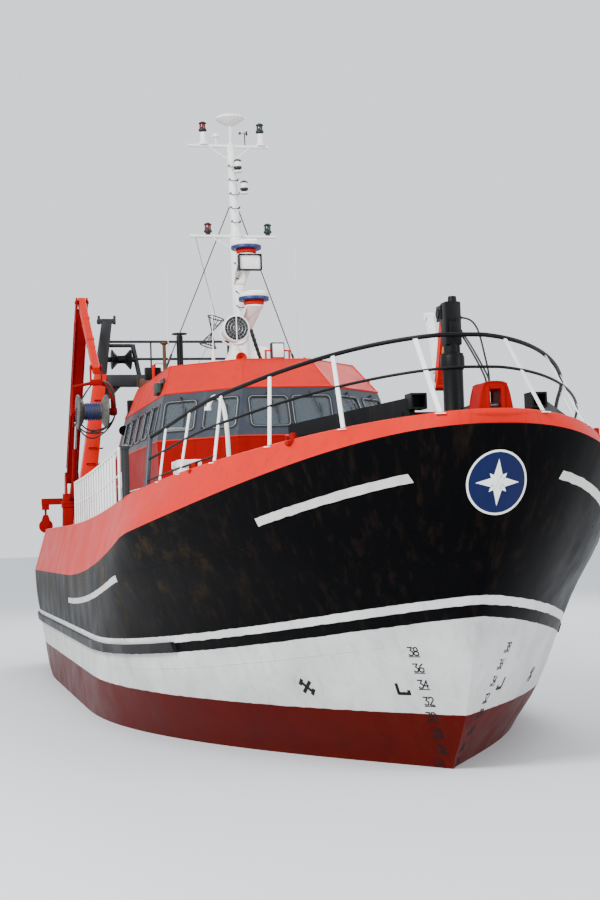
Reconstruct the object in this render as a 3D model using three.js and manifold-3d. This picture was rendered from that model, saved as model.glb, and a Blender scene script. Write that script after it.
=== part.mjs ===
// A 25.5 m steel stern trawler, in millimetres: +X forward, +Y port, +Z up.
// The origin is amidships on the centreline, at the waterline.
import * as THREE from "three";
import { mergeVertices } from "three/addons/utils/BufferGeometryUtils.js";
import Module from "manifold-3d";

const wasm = await Module();
wasm.setup();

// Driving sizes
const GAP = 0.3; // between plates that lie on each other
const FIT = 0.4; // clearance of a pin in its bore and of a bearing's faces
const STEM_HEAD = 12786;
const MAIN_DECK = 2405; // height of the flat main deck
const SHEER_START = -1500; // the deck rises forward of this station
const BULWARK_TOP = 3377; // lowest point of the bulwark's top edge
const BULWARK_SHEER_START = -3050;
const BULWARK_PLATE = 90;
const KEEL_WIDTH = 300;
const SHAFT_HEIGHT = -2090;
const PROPELLER_X = -10800;
const RUDDER_STOCK_X = -11700;
const WALL = 60; // deckhouse plate with its lining
const BAND_BOTTOM = 4800;
const BAND_TOP = 5700;
const ROOF_TOP = 6300;
const GANTRY_X = -5800;
const MAST_FOOT = [-1260, 0, ROOF_TOP];
const MAST_TOP = [-1940, 0, 11800];

const COLOURS = {
  hullBlack: [0x15171a, 0.55, 0.1],
  salmonRed: [0xd8392c, 0.45, 0.1],
  deepRed: [0xb5211c, 0.5, 0.1],
  bandBlue: [0x39434f, 0.45, 0.1],
  white: [0xe6e6e2, 0.5, 0.1],
  darkGrey: [0x2f3439, 0.55, 0.2],
  black: [0x141517, 0.6, 0.2],
  bronze: [0xa07b3c, 0.35, 1.0],
  glass: [0x26323b, 0.08, 0.0],
  deckGreen: [0x4b5a50, 0.85, 0.0],
  wood: [0x8a6a45, 0.7, 0.0],
  steel: [0x8a8d8f, 0.4, 0.9],
};

const part = new THREE.Group();
const v = (x, y, z) => new THREE.Vector3(x, y, z);
const mix = (a, b, t) => a + (b - a) * t;

// A closed three.js geometry becomes a solid that can be joined and cut.
function solid(geometry) {
  const bare = geometry.clone();
  bare.deleteAttribute("normal");
  bare.deleteAttribute("uv");
  const merged = mergeVertices(bare, 1e-3);
  return new wasm.Manifold(
    new wasm.Mesh({
      numProp: 3,
      vertProperties: new Float32Array(merged.attributes.position.array),
      triVerts: new Uint32Array(merged.index.array),
    }),
  );
}

function add(name, body, colour) {
  const mesh = body.getMesh();
  const geometry = new THREE.BufferGeometry();
  geometry.setAttribute("position", new THREE.BufferAttribute(mesh.vertProperties, 3));
  geometry.setIndex(new THREE.BufferAttribute(mesh.triVerts, 1));
  geometry.computeVertexNormals();
  const [hex, roughness, metalness] = COLOURS[colour];
  const made = new THREE.Mesh(
    geometry,
    new THREE.MeshStandardMaterial({ color: hex, roughness, metalness }),
  );
  made.name = name;
  part.add(made);
}

const join = (...bodies) => bodies.flat().reduce((a, b) => a.add(b));
const cut = (body, ...tools) => tools.flat().reduce((a, b) => a.subtract(b), body);

function box([x0, x1], [y0, y1], [z0, z1]) {
  const shape = new THREE.BoxGeometry(x1 - x0, y1 - y0, z1 - z0);
  return solid(shape.translate((x0 + x1) / 2, (y0 + y1) / 2, (z0 + z1) / 2));
}

// A round bar from one point to another, with its own radius at each end.
function bar(from, to, radius, sides = 8, endRadius = radius) {
  const a = v(...from);
  const b = v(...to);
  const length = a.distanceTo(b);
  const shape = new THREE.CylinderGeometry(endRadius, radius, length, sides);
  const turn = new THREE.Quaternion().setFromUnitVectors(v(0, 1, 0), b.clone().sub(a).normalize());
  shape.applyQuaternion(turn);
  const middle = a.add(b).multiplyScalar(0.5);
  return solid(shape.translate(middle.x, middle.y, middle.z));
}

// The bore that such a round bar turns in. Its flats face the bar's corners.
function bore(from, to, radius, sides = 12) {
  const a = v(...from);
  const b = v(...to);
  const length = a.distanceTo(b);
  const reach = (radius + FIT) / Math.cos(Math.PI / sides);
  const shape = new THREE.CylinderGeometry(reach, reach, length, sides).rotateY(Math.PI / sides);
  const turn = new THREE.Quaternion().setFromUnitVectors(v(0, 1, 0), b.clone().sub(a).normalize());
  shape.applyQuaternion(turn);
  const middle = a.add(b).multiplyScalar(0.5);
  return solid(shape.translate(middle.x, middle.y, middle.z));
}

// A bent pipe through the given points.
function pipe(points, radius, steps, sides = 6, closed = false) {
  const path = new THREE.CatmullRomCurve3(points.map((p) => v(...p)), closed, "centripetal");
  const section = new THREE.Shape();
  for (let i = 0; i < sides; i++) {
    const angle = (2 * Math.PI * (i + 0.5)) / sides;
    const place = [radius * Math.cos(angle), radius * Math.sin(angle)];
    if (i === 0) section.moveTo(...place);
    else section.lineTo(...place);
  }
  return solid(new THREE.ExtrudeGeometry(section, { steps, bevelEnabled: false, extrudePath: path }));
}

// A turned piece: its profile is a list of [radius, height] along the given direction.
function turned(profile, from, direction, sides = 16) {
  const shape = new THREE.LatheGeometry(profile.map((p) => new THREE.Vector2(...p)), sides);
  shape.applyQuaternion(new THREE.Quaternion().setFromUnitVectors(v(0, 1, 0), v(...direction).normalize()));
  return solid(shape.translate(...from));
}

// An outline in the XZ plane, as thick in Y as its two limits say.
function plateXZ(outline, [y0, y1]) {
  const shape = new THREE.Shape(outline.map((p) => new THREE.Vector2(...p)));
  const geometry = new THREE.ExtrudeGeometry(shape, { depth: y1 - y0, bevelEnabled: false });
  return solid(geometry.rotateX(Math.PI / 2).translate(0, y1, 0));
}

// An outline in the YZ plane, as thick in X as its two limits say.
function plateYZ(outline, [x0, x1]) {
  const shape = new THREE.Shape(outline.map((p) => new THREE.Vector2(...p)));
  const geometry = new THREE.ExtrudeGeometry(shape, { depth: x1 - x0, bevelEnabled: false });
  return solid(geometry.rotateZ(Math.PI / 2).rotateY(Math.PI / 2).translate(x0, 0, 0));
}

// Rings of equally many points become one closed skin. A ring runs from the stem down one
// side and back up the other, so its ends are closed by strips between the two sides.
function skin(rings, walled = false) {
  const count = rings[0].length;
  const points = rings.flat();
  const faces = [];
  const quad = (a, b, c, d) => faces.push(a, c, b, a, d, c);
  const last = walled ? rings.length : rings.length - 1;
  for (let r = 0; r < last; r++) {
    const next = (r + 1) % rings.length;
    for (let i = 0; i < count; i++) {
      const j = (i + 1) % count;
      quad(r * count + i, r * count + j, next * count + j, next * count + i);
    }
  }
  if (!walled) {
    const top = (rings.length - 1) * count;
    for (let i = 0; i < count / 2; i++) {
      const far = count - i - 1;
      const near = (count - i) % count;
      quad(near, far, i + 1, i);
      quad(top + i, top + i + 1, top + far, top + near);
    }
  }
  const geometry = new THREE.BufferGeometry();
  geometry.setAttribute("position", new THREE.Float32BufferAttribute(points.flat(), 3));
  geometry.setIndex(faces);
  return solid(dropSlivers(geometry));
}

// Strips meet at the stem and the stern in faces without area, which are left out.
function dropSlivers(geometry) {
  const merged = mergeVertices(geometry, 1e-3);
  const kept = [];
  const index = merged.index.array;
  for (let i = 0; i < index.length; i += 3) {
    const [a, b, c] = [index[i], index[i + 1], index[i + 2]];
    if (a !== b && b !== c && c !== a) kept.push(a, b, c);
  }
  merged.setIndex(kept);
  return merged;
}

// Hull form. Each level is a line round the hull: its half-breadth is full between its
// fore and aft shoulders and closes towards the stem and the stern.
const sheer = (x) => MAIN_DECK + 9e-6 * Math.max(x - SHEER_START, 0) ** 2;
const bulwarkHeight = (x) => BULWARK_TOP + 4e-6 * Math.max(x - BULWARK_SHEER_START, 0) ** 2;
const ramp = (low, high) => (x) => mix(low, high, (x + 12800) / 25600);
const level = (height, half, stem, foreShoulder, p, e, stern, aftShoulder, pAft, eAft) => ({
  height, half, stem, foreShoulder, p, e, stern, aftShoulder, pAft, eAft,
});
// height, half-breadth, stem x, fore shoulder x, its two powers, stern x, aft shoulder x, its powers
const GARBOARD = level(ramp(-2250, -2050), 1150, 9500, 500, 1.6, 1.0, -9500, -1500, 1.5, 1.0);
const BILGE = level(ramp(-1650, -1500), 2750, 10050, 500, 1.8, 1.05, -9700, -2500, 1.7, 0.95);
const TUCK = level(ramp(-720, -700), 3380, 10400, 800, 2.1, 1.08, -11900, -4000, 2.2, 0.8);
const WATERLINE = level(ramp(0, 0), 3550, 10700, 1000, 2.28, 1.1, -12400, -5000, 3.0, 0.55);
const BOOT_TOP = level(ramp(720, 740), 3610, 11260, 2500, 2.1, 0.95, -12620, -6000, 3.4, 0.48);
const STRIPE = level(ramp(1420, 2150), 3665, 11930, 4500, 1.65, 0.7, -12760, -7000, 3.8, 0.44);
const midHeight = (x) => (STRIPE.height(x) + sheer(x)) / 2;
const FLARE = level(midHeight, 3685, 12440, 6000, 1.3, 0.54, -12810, -7500, 4.0, 0.42);
const KNUCKLE = level(sheer, 3685, 12744, 7298, 1.066, 0.44, -12820, -8000, 4.0, 0.42);
const RAIL_TOP = level(bulwarkHeight, 3425, STEM_HEAD, 5268, 1.844, 0.545, -12560, -7600, 4.0, 0.42);
const STATIONS = 30;

function halfBreadth(line, x) {
  if (x > line.foreShoulder) {
    const u = Math.min((x - line.foreShoulder) / (line.stem - line.foreShoulder), 1);
    return line.half * (1 - u ** line.p) ** line.e;
  }
  if (x < line.aftShoulder) {
    const u = Math.min((line.aftShoulder - x) / (line.aftShoulder - line.stern), 1);
    return line.half * (1 - u ** line.pAft) ** line.eAft;
  }
  return line.half;
}

// The points of a level, from the stem along the starboard side to the stern and back to port,
// each moved inwards across the line by the inset.
function ring(line, lift = 0, inset = 0) {
  const side = [];
  for (let i = 0; i <= STATIONS; i++) {
    const x = mix(line.stem, line.stern, (1 - Math.cos((Math.PI * i) / STATIONS)) / 2);
    side.push([x, i % STATIONS ? -halfBreadth(line, x) : 0]);
  }
  const around = [...side, ...side.slice(1, STATIONS).reverse().map(([x, y]) => [x, -y])];
  return around.map(([x, y], i) => {
    const before = around[(i + around.length - 1) % around.length];
    const after = around[(i + 1) % around.length];
    const along = [after[0] - before[0], after[1] - before[1]];
    const size = Math.hypot(...along);
    const inwards = [-along[1] / size, along[0] / size];
    const place = [x - inset * inwards[0], y - inset * inwards[1]];
    return [...place, line.height(place[0]) + lift];
  });
}

const hullLevels = [GARBOARD, BILGE, TUCK, WATERLINE, BOOT_TOP, STRIPE, FLARE, KNUCKLE];
const hullSkin = skin(hullLevels.map((l) => ring(l)));
// What stands on the deck is trimmed by this block, which reaches out past the deck's edge.
const TRIM_REACH = 300;
const widened = (line, lift) => ring(line, lift).map(([x, y, z], i) => {
  const end = { 0: TRIM_REACH, [STATIONS]: -TRIM_REACH }[i] ?? 0;
  return end ? [x + end, 0, line.height(x + end) + lift] : [x, y + Math.sign(y) * TRIM_REACH, z];
});
const belowDeck = skin([widened(BOOT_TOP, 0), widened(KNUCKLE, GAP)]);

// Keel, bow bulb and thruster tunnel
const KEEL_LINE = [
  [10100, -1500], [9900, -2200], [9300, -2420], [-9200, -3180], [-9450, -1900], [-9000, -1300],
  [8800, -1300],
];
const keel = plateXZ(KEEL_LINE, [-KEEL_WIDTH / 2, KEEL_WIDTH / 2]);
const BULB = new THREE.SphereGeometry(1, 16, 12).scale(1500, 560, 620).translate(9500, 0, -1480);
const TUNNEL_X = 7700;
const TUNNEL_Z = -1250;
const tunnel = bar([TUNNEL_X, -3000, TUNNEL_Z], [TUNNEL_X, 3000, TUNNEL_Z], 300, 16);
const shaftBoss = turned([[0, 0], [230, 0], [150, 900], [0, 900]], [-9500, 0, SHAFT_HEIGHT], [-1, 0, 0], 12);
const skeg = plateXZ(
  [[-7000, -1400], [-7000, -2900], [-9300, -2900], [-9600, -1900], [-9500, -1000], [-8000, -1000]],
  [-260, 260],
);
// The rudder trunk's flat foot, under which the stock turns
const TRUNK_FOOT = -960;
const rudderTrunk = bar([RUDDER_STOCK_X, 0, TRUNK_FOOT], [RUDDER_STOCK_X, 0, -600], 150, 14);
const hull = cut(join(hullSkin, keel, solid(BULB), skeg, shaftBoss, rudderTrunk), tunnel);
add("hull", hull, "hullBlack");

// Sole piece: it runs aft from the keel, under the propeller, and carries the rudder's foot
const SOLE_LINE = [
  [-9150, -3150], [-9210, -3181], [-12150, -3250], [-12150, -3090], [-9700, -3020], [-9580, -2500],
  [-9200, -2500],
];
const keelSeat = join(hull, hull.translate([-FIT, 0, 0]), hull.translate([-FIT, 0, -FIT]));
const solePiece = cut(plateXZ(SOLE_LINE, [-KEEL_WIDTH / 2, KEEL_WIDTH / 2]), keelSeat);
add("sole_piece", solePiece, "hullBlack");

// Bulwark plating leans in from the deck edge to its top edge
const bulwarkBlank = (grow) => skin([
  ring(KNUCKLE, 0, -grow), ring(RAIL_TOP, grow, -grow), ring(RAIL_TOP, grow, BULWARK_PLATE + grow),
  ring(KNUCKLE, 0, BULWARK_PLATE + grow),
], true);
add("bulwark", cut(bulwarkBlank(0), belowDeck), "salmonRed");
const bulwarkRoom = bulwarkBlank(GAP);

// Rubbing strake: a belt round the stern and along both sides up to the bow's flare, below
// the white stripe. The stripe lies level aft and curves up forward.
const STRIPE_START = 3000;
const stripeTop = (x) => 1469 + 9.54e-6 * Math.max(x - STRIPE_START, 0) ** 2;
const STRIPE_WIDTH = 100;
const BELT = { fore: 7300, reach: 75, deep: 140 };
const beltTop = (x) => stripeTop(x) - STRIPE_WIDTH;
// A line on the hull, between two levels, at its own height
const onHull = (low, high, height, reach) => {
  const upper = ring(high, 0, -reach);
  return ring(low, 0, -reach).map(([x, y, z], i) => {
    const share = (height(x) - z) / (upper[i][2] - z);
    const place = [mix(x, upper[i][0], share), mix(y, upper[i][1], share)];
    return [...place, height(place[0])];
  });
};
const beltLine = (height) => onHull(BOOT_TOP, STRIPE, height, BELT.reach);
const beltBlank = skin([beltLine((x) => beltTop(x) - BELT.deep), beltLine(beltTop)]);
const beltWindow = box([-14000, BELT.fore], [-4200, 4200], [0, 3000]);
const hullAllowance = skin(hullLevels.map((l) => ring(l, 0, -GAP)));
add("rubbing_strake", beltBlank.intersect(beltWindow).subtract(hullAllowance), "black");

// Propeller, nozzle and rudder
const NOZZLE = [[-10400, 810], [-10400, 900], [-11150, 875], [-11150, 790]];
const nozzleProfile = NOZZLE.map(([x, r]) => [r, -(x - PROPELLER_X)]);
nozzleProfile.push(nozzleProfile[0]);
const nozzle = turned(nozzleProfile, [PROPELLER_X, 0, SHAFT_HEIGHT], [-1, 0, 0], 24);
const nozzleHanger = box([-11050, -10450], [-90, 90], [SHAFT_HEIGHT + 850, -600]);
const nozzleFoot = box([-11050, -10450], [-90, 90], [-3200, SHAFT_HEIGHT - 850]);
const stern = join(hull, solePiece);
const nozzleSeat = join(stern.translate([0, 0, GAP]), stern.translate([0, 0, -GAP]));
add("propeller_nozzle", cut(join(nozzle, nozzleHanger, nozzleFoot), nozzleSeat), "darkGrey");

const BLADES = 4;
const BLADE_PITCH = 0.55;
const BLADE = [
  [-60, 80], [-180, 310], [-210, 530], [-120, 700], [60, 735], [200, 570], [190, 310], [70, 80],
];
const BLADE_THICKNESS = 44;
// radius and place along the shaft, from its bearing's face to the cone's tip
const HUB = [
  [0, -400 + FIT], [70, -400 + FIT], [70, -160], [130, -150], [150, 0], [140, 120], [60, 220], [0, 240],
];
const hub = turned(HUB, [0, 0, 0], [-1, 0, 0], 14);
const blades = Array.from({ length: BLADES }, (_, i) => {
  const outline = new THREE.Shape(BLADE.map((p) => new THREE.Vector2(...p)));
  const blade = new THREE.ExtrudeGeometry(outline, { depth: BLADE_THICKNESS, bevelEnabled: false });
  blade.translate(0, 0, -BLADE_THICKNESS / 2).rotateX(Math.PI / 2).rotateZ(Math.PI / 2 + BLADE_PITCH);
  return solid(blade.rotateX((2 * Math.PI * i) / BLADES));
});
add("propeller", join(hub, blades).translate([PROPELLER_X, 0, SHAFT_HEIGHT]), "bronze");

const RUDDER = [[-11420, -2960], [-12330, -2960], [-12250, -1150], [-11450, -1150]];
const stock = bar([RUDDER_STOCK_X, 0, -3060], [RUDDER_STOCK_X, 0, TRUNK_FOOT - FIT], 85, 12);
add("rudder", join(plateXZ(RUDDER, [-75, 75]), stock), "darkGrey");

// An octagonal or squared-off ring of wall corners: bow face, shoulder, aft corner.
function plan(face, shoulder, aft, z) {
  const half = [[face[0], face[1]], [shoulder[0], shoulder[1]], [aft[0], aft[1]]];
  return [
    ...half.map(([x, y]) => [x, -y, z]),
    ...half.slice().reverse().map(([x, y]) => [x, y, z]),
  ];
}

// Such a ring's skin: its ends are flat, so each is closed by strips across the ship.
function frustum(low, high) {
  const count = low.length;
  const points = [...low, ...high];
  const faces = [];
  for (let i = 0; i < count; i++) {
    const j = (i + 1) % count;
    faces.push(i, count + j, j, i, count + i, count + j);
  }
  for (let i = 0; i + 1 < count / 2; i++) {
    const far = count - 1 - i;
    faces.push(i, i + 1, far - 1, i, far - 1, far);
    faces.push(count + i, count + far - 1, count + i + 1, count + i, count + far, count + far - 1);
  }
  const geometry = new THREE.BufferGeometry();
  geometry.setAttribute("position", new THREE.Float32BufferAttribute(points.flat(), 3));
  geometry.setIndex(faces);
  return solid(geometry);
}

// Deckhouse: corners [x, y] of the bow face, the shoulder and the aft end at each height
const HOUSE_AFT = -4400;
// bow face's x, its half-width, the sides' half-width and the aft end's x; the shoulders turn at 45 degrees
const corners = (faceX, faceY, sideY, aftX) => ({
  face: [faceX, faceY], shoulder: [faceX - (sideY - faceY), sideY], aft: [aftX, sideY],
});
const HOUSE_FOOT = corners(3300, 1120, 2260, HOUSE_AFT);
const HOUSE_HEAD = corners(2900, 1020, 2260, HOUSE_AFT);
const BAND_HEAD = corners(2510, 820, 2050, HOUSE_AFT + 250);
const ROOF_EDGE = corners(1660, 640, 1800, HOUSE_AFT + 550);
// The ring of corners at a height, with each wall moved in by the inset
function at({ face, shoulder, aft }, z, inset = 0) {
  const slant = [shoulder[1] - face[1], face[0] - shoulder[0]];
  const size = Math.hypot(...slant);
  const normal = [slant[0] / size, slant[1] / size];
  const reach = normal[0] * face[0] + normal[1] * face[1] - inset;
  const faceX = face[0] - inset;
  const sideY = shoulder[1] - inset;
  return plan(
    [faceX, (reach - normal[0] * faceX) / normal[1]],
    [(reach - normal[1] * sideY) / normal[0], sideY],
    [aft[0] + inset, sideY],
    z,
  );
}
const HOUSE_BASE = 2000; // below the deck, where the walls are trimmed
const shell = (low, z0, high, z1, over = 0) =>
  cut(frustum(at(low, z0), at(high, z1)), frustum(at(low, z0 - over, WALL), at(high, z1 + over, WALL)));
const houseBlank = shell(HOUSE_FOOT, HOUSE_BASE, HOUSE_HEAD, BAND_BOTTOM, 1);
const DOOR = { x: [-3600, -2850], z: [2700, 4500] };
const doorHole = box(DOOR.x, [-2600, -2000], DOOR.z);
const portHoles = [-1800, -500, 800].flatMap((x) =>
  [-1, 1].map((side) => bar([x, side * 1900, 3700], [x, side * 2700, 3700], 170, 12)),
);
const doorLugs = [2950, 4150].map((z) => cut(
  box([-2845, -2790], [-2330, -2240], [z, z + 50]),
  bore([-2825, -2305, z - 10], [-2825, -2305, z + 60], 10, 8),
));
add("house_walls", cut(join(cut(houseBlank, doorHole, portHoles), doorLugs), belowDeck), "deepRed");

// The wheelhouse's window band
const bandBlank = shell(HOUSE_HEAD, BAND_BOTTOM + GAP, BAND_HEAD, BAND_TOP, 1);
const SILL = 4980;
const LINTEL = 5520;
const SIDE_WINDOWS = [[330, 1080], [-620, 130], [-1570, -820], [-2520, -1770], [-3470, -2720]];
const sidePanes = SIDE_WINDOWS.map((x) => box(x, [-3000, 3000], [SILL, LINTEL]));
const frontPanes = [[-730, -60], [60, 730]].map((y) => box([1900, 3400], y, [SILL, LINTEL]));
const shoulderTurn = Math.atan2(1240, 1300);
const shoulderPanes = [-1, 1].flatMap((side) =>
  [-450, 450].map((along) => {
    const pane = new THREE.BoxGeometry(1000, 690, LINTEL - SILL);
    pane.translate(0, along, 0).rotateZ(side * (Math.PI / 2 - shoulderTurn));
    return solid(pane.translate(2080, side * 1540, (SILL + LINTEL) / 2));
  }),
);
const aftPanes = [-1300, -350, 600].map((y) => box([-4700, -3800], [y, y + 700], [SILL, LINTEL]));
add("wheelhouse_band", cut(bandBlank, sidePanes, frontPanes, shoulderPanes, aftPanes), "bandBlue");

// Its glazing is one band of glass behind the openings
const GLASS = 14;
const bandSlope = (z) => (z - BAND_BOTTOM) / (BAND_TOP - BAND_BOTTOM);
const cornersAt = (z) => {
  const t = bandSlope(z);
  const between = (a, b) => [mix(a[0], b[0], t), mix(a[1], b[1], t)];
  return {
    face: between(HOUSE_HEAD.face, BAND_HEAD.face),
    shoulder: between(HOUSE_HEAD.shoulder, BAND_HEAD.shoulder),
    aft: between(HOUSE_HEAD.aft, BAND_HEAD.aft),
  };
};
const glassLow = SILL - 40;
const glassHigh = LINTEL + 40;
const glassInset = WALL + GAP;
add("wheelhouse_glazing", cut(
  frustum(at(cornersAt(glassLow), glassLow, glassInset), at(cornersAt(glassHigh), glassHigh, glassInset)),
  frustum(
    at(cornersAt(glassLow - 1), glassLow - 1, glassInset + GLASS),
    at(cornersAt(glassHigh + 1), glassHigh + 1, glassInset + GLASS),
  ),
), "glass");

// The roof slopes up from the band to a flat top
const roofOuter = frustum(at(BAND_HEAD, BAND_TOP + GAP), at(ROOF_EDGE, ROOF_TOP));
const roofInner = frustum(at(BAND_HEAD, BAND_TOP - 1, WALL), at(ROOF_EDGE, ROOF_TOP - WALL, WALL));
add("wheelhouse_roof", cut(roofOuter, roofInner), "salmonRed");

// The wheelhouse's floor, with its console and chair
const FLOOR = 3900;
const floorInset = WALL + GAP;
const floorCorners = (z) => {
  const t = (z - HOUSE_BASE) / (BAND_BOTTOM - HOUSE_BASE);
  const between = (a, b) => [mix(a[0], b[0], t), mix(a[1], b[1], t)];
  return {
    face: between(HOUSE_FOOT.face, HOUSE_HEAD.face),
    shoulder: between(HOUSE_FOOT.shoulder, HOUSE_HEAD.shoulder),
    aft: between(HOUSE_FOOT.aft, HOUSE_HEAD.aft),
  };
};
add("wheelhouse_floor", join(
  frustum(
    at(floorCorners(FLOOR - 60), FLOOR - 60, floorInset),
    at(floorCorners(FLOOR), FLOOR, floorInset),
  ),
  box([1150, 1900], [-900, 900], [FLOOR - 30, 4750]),
  box([1350, 2050], [-900, 900], [4600, 4850]),
  bar([200, 0, FLOOR - 30], [200, 0, FLOOR + 420], 60, 12, 60),
  box([-80, 450], [-260, 260], [FLOOR + 400, FLOOR + 520]),
  box([-120, 0], [-260, 260], [FLOOR + 450, FLOOR + 1100]),
), "wood");

// Door of the deckhouse on the starboard side, hinged at its forward edge
const DOOR_GAP = 8;
const DOOR_FACE = -(HOUSE_HEAD.shoulder[1] + 15);
const DOOR_PIN = [DOOR.x[1] + 25, DOOR_FACE - 30];
const HINGE_HEIGHTS = [DOOR.z[0] + 250, DOOR.z[1] - 350];
add("house_door", join(
  box([DOOR.x[0] + DOOR_GAP, DOOR.x[1] - DOOR_GAP], [DOOR_FACE, DOOR_FACE + 50],
    [DOOR.z[0] + DOOR_GAP, DOOR.z[1] - DOOR_GAP]),
  HINGE_HEIGHTS.flatMap((z) => [
    bar([...DOOR_PIN, z - 40], [...DOOR_PIN, z + 90], 10, 8),
    box([DOOR_PIN[0] - 80, DOOR_PIN[0] + 12], [DOOR_PIN[1] - 12, DOOR_FACE + 10], [z + 56, z + 90]),
  ]),
), "white");

// Rails follow the bulwark's top edge, leaning in and back round the bow
const RAIL_HEIGHT = 1020;
const BOW_START = RAIL_TOP.foreShoulder;
const LEAN_BACK = 0.138;
const LEAN_IN = 0.09;
function railPoint(x, side, up) {
  const share = up / RAIL_HEIGHT;
  const back = Math.max(x - BOW_START, 0) * LEAN_BACK * share;
  const scale = 1 - LEAN_IN * share * THREE.MathUtils.smoothstep(x, BOW_START, 9000);
  const edge = Math.max(halfBreadth(RAIL_TOP, x) - BULWARK_PLATE / 2, 0);
  return [x - back, side * edge * scale, bulwarkHeight(x) + up];
}
const railRun = (stations, side, up) => stations.map((x) => railPoint(x, side, up));
const BOW_RAIL_END = 7000;
const STANCHIONS = [7600, 8400, 9400, 10600, 11700, 12570];
const LOW_RAIL_END = STANCHIONS[2];
// The bow rail rises from its end post to its full height
const bowRailHeight = (x) => {
  const rise = THREE.MathUtils.smoothstep(x, 6700, 9300);
  return mix(740, 960, rise) + 60 * THREE.MathUtils.smoothstep(x, 9300, 12600);
};
const bowPoint = (x, side, share) => railPoint(x, side, share * bowRailHeight(x));
const bowStations = [BOW_RAIL_END, ...STANCHIONS, 12720];
const bowRun = (share) => [
  ...bowStations.map((x) => bowPoint(x, -1, share)),
  bowPoint(12760, 0, share),
  ...bowStations.slice().reverse().map((x) => bowPoint(x, 1, share)),
];
const MID_RAIL = 0.56;
const LOW_RAIL = 100;
const POST_FOOT = -8;
const bowPosts = [-1, 1].flatMap((side) => [
  ...STANCHIONS.map((x) => bar(railPoint(x, side, POST_FOOT), bowPoint(x, side, 1), 28, 4)),
  bar(railPoint(BOW_RAIL_END, side, POST_FOOT), bowPoint(BOW_RAIL_END, side, 1), 42, 8),
]);
const lowRails = [-1, 1].map((side) => pipe(
  [BOW_RAIL_END, ...STANCHIONS].filter((x) => x <= LOW_RAIL_END).map((x) => railPoint(x, side, LOW_RAIL)),
  16, 6, 5));
const bowRails = [[1, 28], [MID_RAIL, 18]].map(([share, r]) => pipe(bowRun(share), r, 30, 5));
add("bow_rail", cut(join(bowRails, lowRails, bowPosts), bulwarkRoom), "white");

const SIDE_POSTS = [-2100, -1300, -500, 300, 1100, 1900, 2700, 3500, 4300, 4900];
for (const [name, side] of [["side_rail_starboard", -1], ["side_rail_port", 1]]) {
  const posts = SIDE_POSTS.map((x) => bar(railPoint(x, side, POST_FOOT), railPoint(x, side, 860), 22, 5));
  const rails = [[860, 26], [440, 16]].map(([up, r]) =>
    pipe(railRun(SIDE_POSTS, side, up), r, 9, 5));
  add(name, cut(join(rails, posts), bulwarkRoom), "white");
}

// Stem fairlead: a tapered casting with rollers across its window
const LEAD = { x: [12330, 12690], foot: 235, head: 145, z: [4300, 4700] };
const leadBody = plateYZ([[-LEAD.foot, LEAD.z[0]], [LEAD.foot, LEAD.z[0]], [LEAD.head, LEAD.z[1]],
  [-LEAD.head, LEAD.z[1]]], LEAD.x);
const LEAD_WINDOW = { half: 85, z: [4400, 4630] };
const leadHole = box([11000, 13000], [-LEAD_WINDOW.half, LEAD_WINDOW.half], LEAD_WINDOW.z);
add("stem_fairlead", cut(leadBody, leadHole, bulwarkRoom, belowDeck), "deepRed");
const LEAD_ROLLER = { x: 12530, z: 4450, r: 38, half: LEAD_WINDOW.half - FIT };
add("fairlead_roller", bar([LEAD_ROLLER.x, -LEAD_ROLLER.half, LEAD_ROLLER.z],
  [LEAD_ROLLER.x, LEAD_ROLLER.half, LEAD_ROLLER.z], LEAD_ROLLER.r, 10), "steel");

// Bow frame: two box beams inside the bulwark that end at the stem as open sockets, on legs
const FRAME_AFT = [10450, 1900, 4340];
const FRAME_FORE = [11990, 790, 4470];
const SOCKET = { x: [11990, 12170], y: [660, 860], z: [4450, 4640] };
const bowBeam = (side) => {
  const [a, b] = [FRAME_AFT, FRAME_FORE];
  const turn = Math.atan2(a[1] - b[1], b[0] - a[0]);
  const length = Math.hypot(b[0] - a[0], a[1] - b[1]);
  const web = plateXZ([[0, a[2] - 90], [length, b[2] - 90], [length, b[2] + 130], [length * 0.62, b[2] + 60],
    [0, a[2] + 70]], [-55, 55]);
  const beamBody = web.rotate([0, 0, -side * THREE.MathUtils.radToDeg(turn)]);
  return beamBody.translate([a[0], side * a[1], 0]);
};
const socket = (side) => {
  const [y0, y1] = side > 0 ? SOCKET.y : SOCKET.y.map((y) => -y).reverse();
  return cut(
    box([SOCKET.x[0] - 60, SOCKET.x[1]], [y0, y1], SOCKET.z),
    box([SOCKET.x[0], SOCKET.x[1] + 50], [y0 + 22, y1 - 22], [SOCKET.z[0] + 22, SOCKET.z[1] - 22]),
  );
};
const FRAME_LEGS = [[10600, 1790], [11900, 870]];
add("bow_frame", cut(join(
  [-1, 1].flatMap((side) => [
    bowBeam(side), socket(side),
    FRAME_LEGS.map(([x, y]) => bar([x, side * y, sheer(x) - 300], [x, side * y, 4380], 50, 8)),
  ]).flat(),
  box([11850, 11950], [-900, 900], [4330, 4430]),
), belowDeck, bulwarkRoom), "black");

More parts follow.
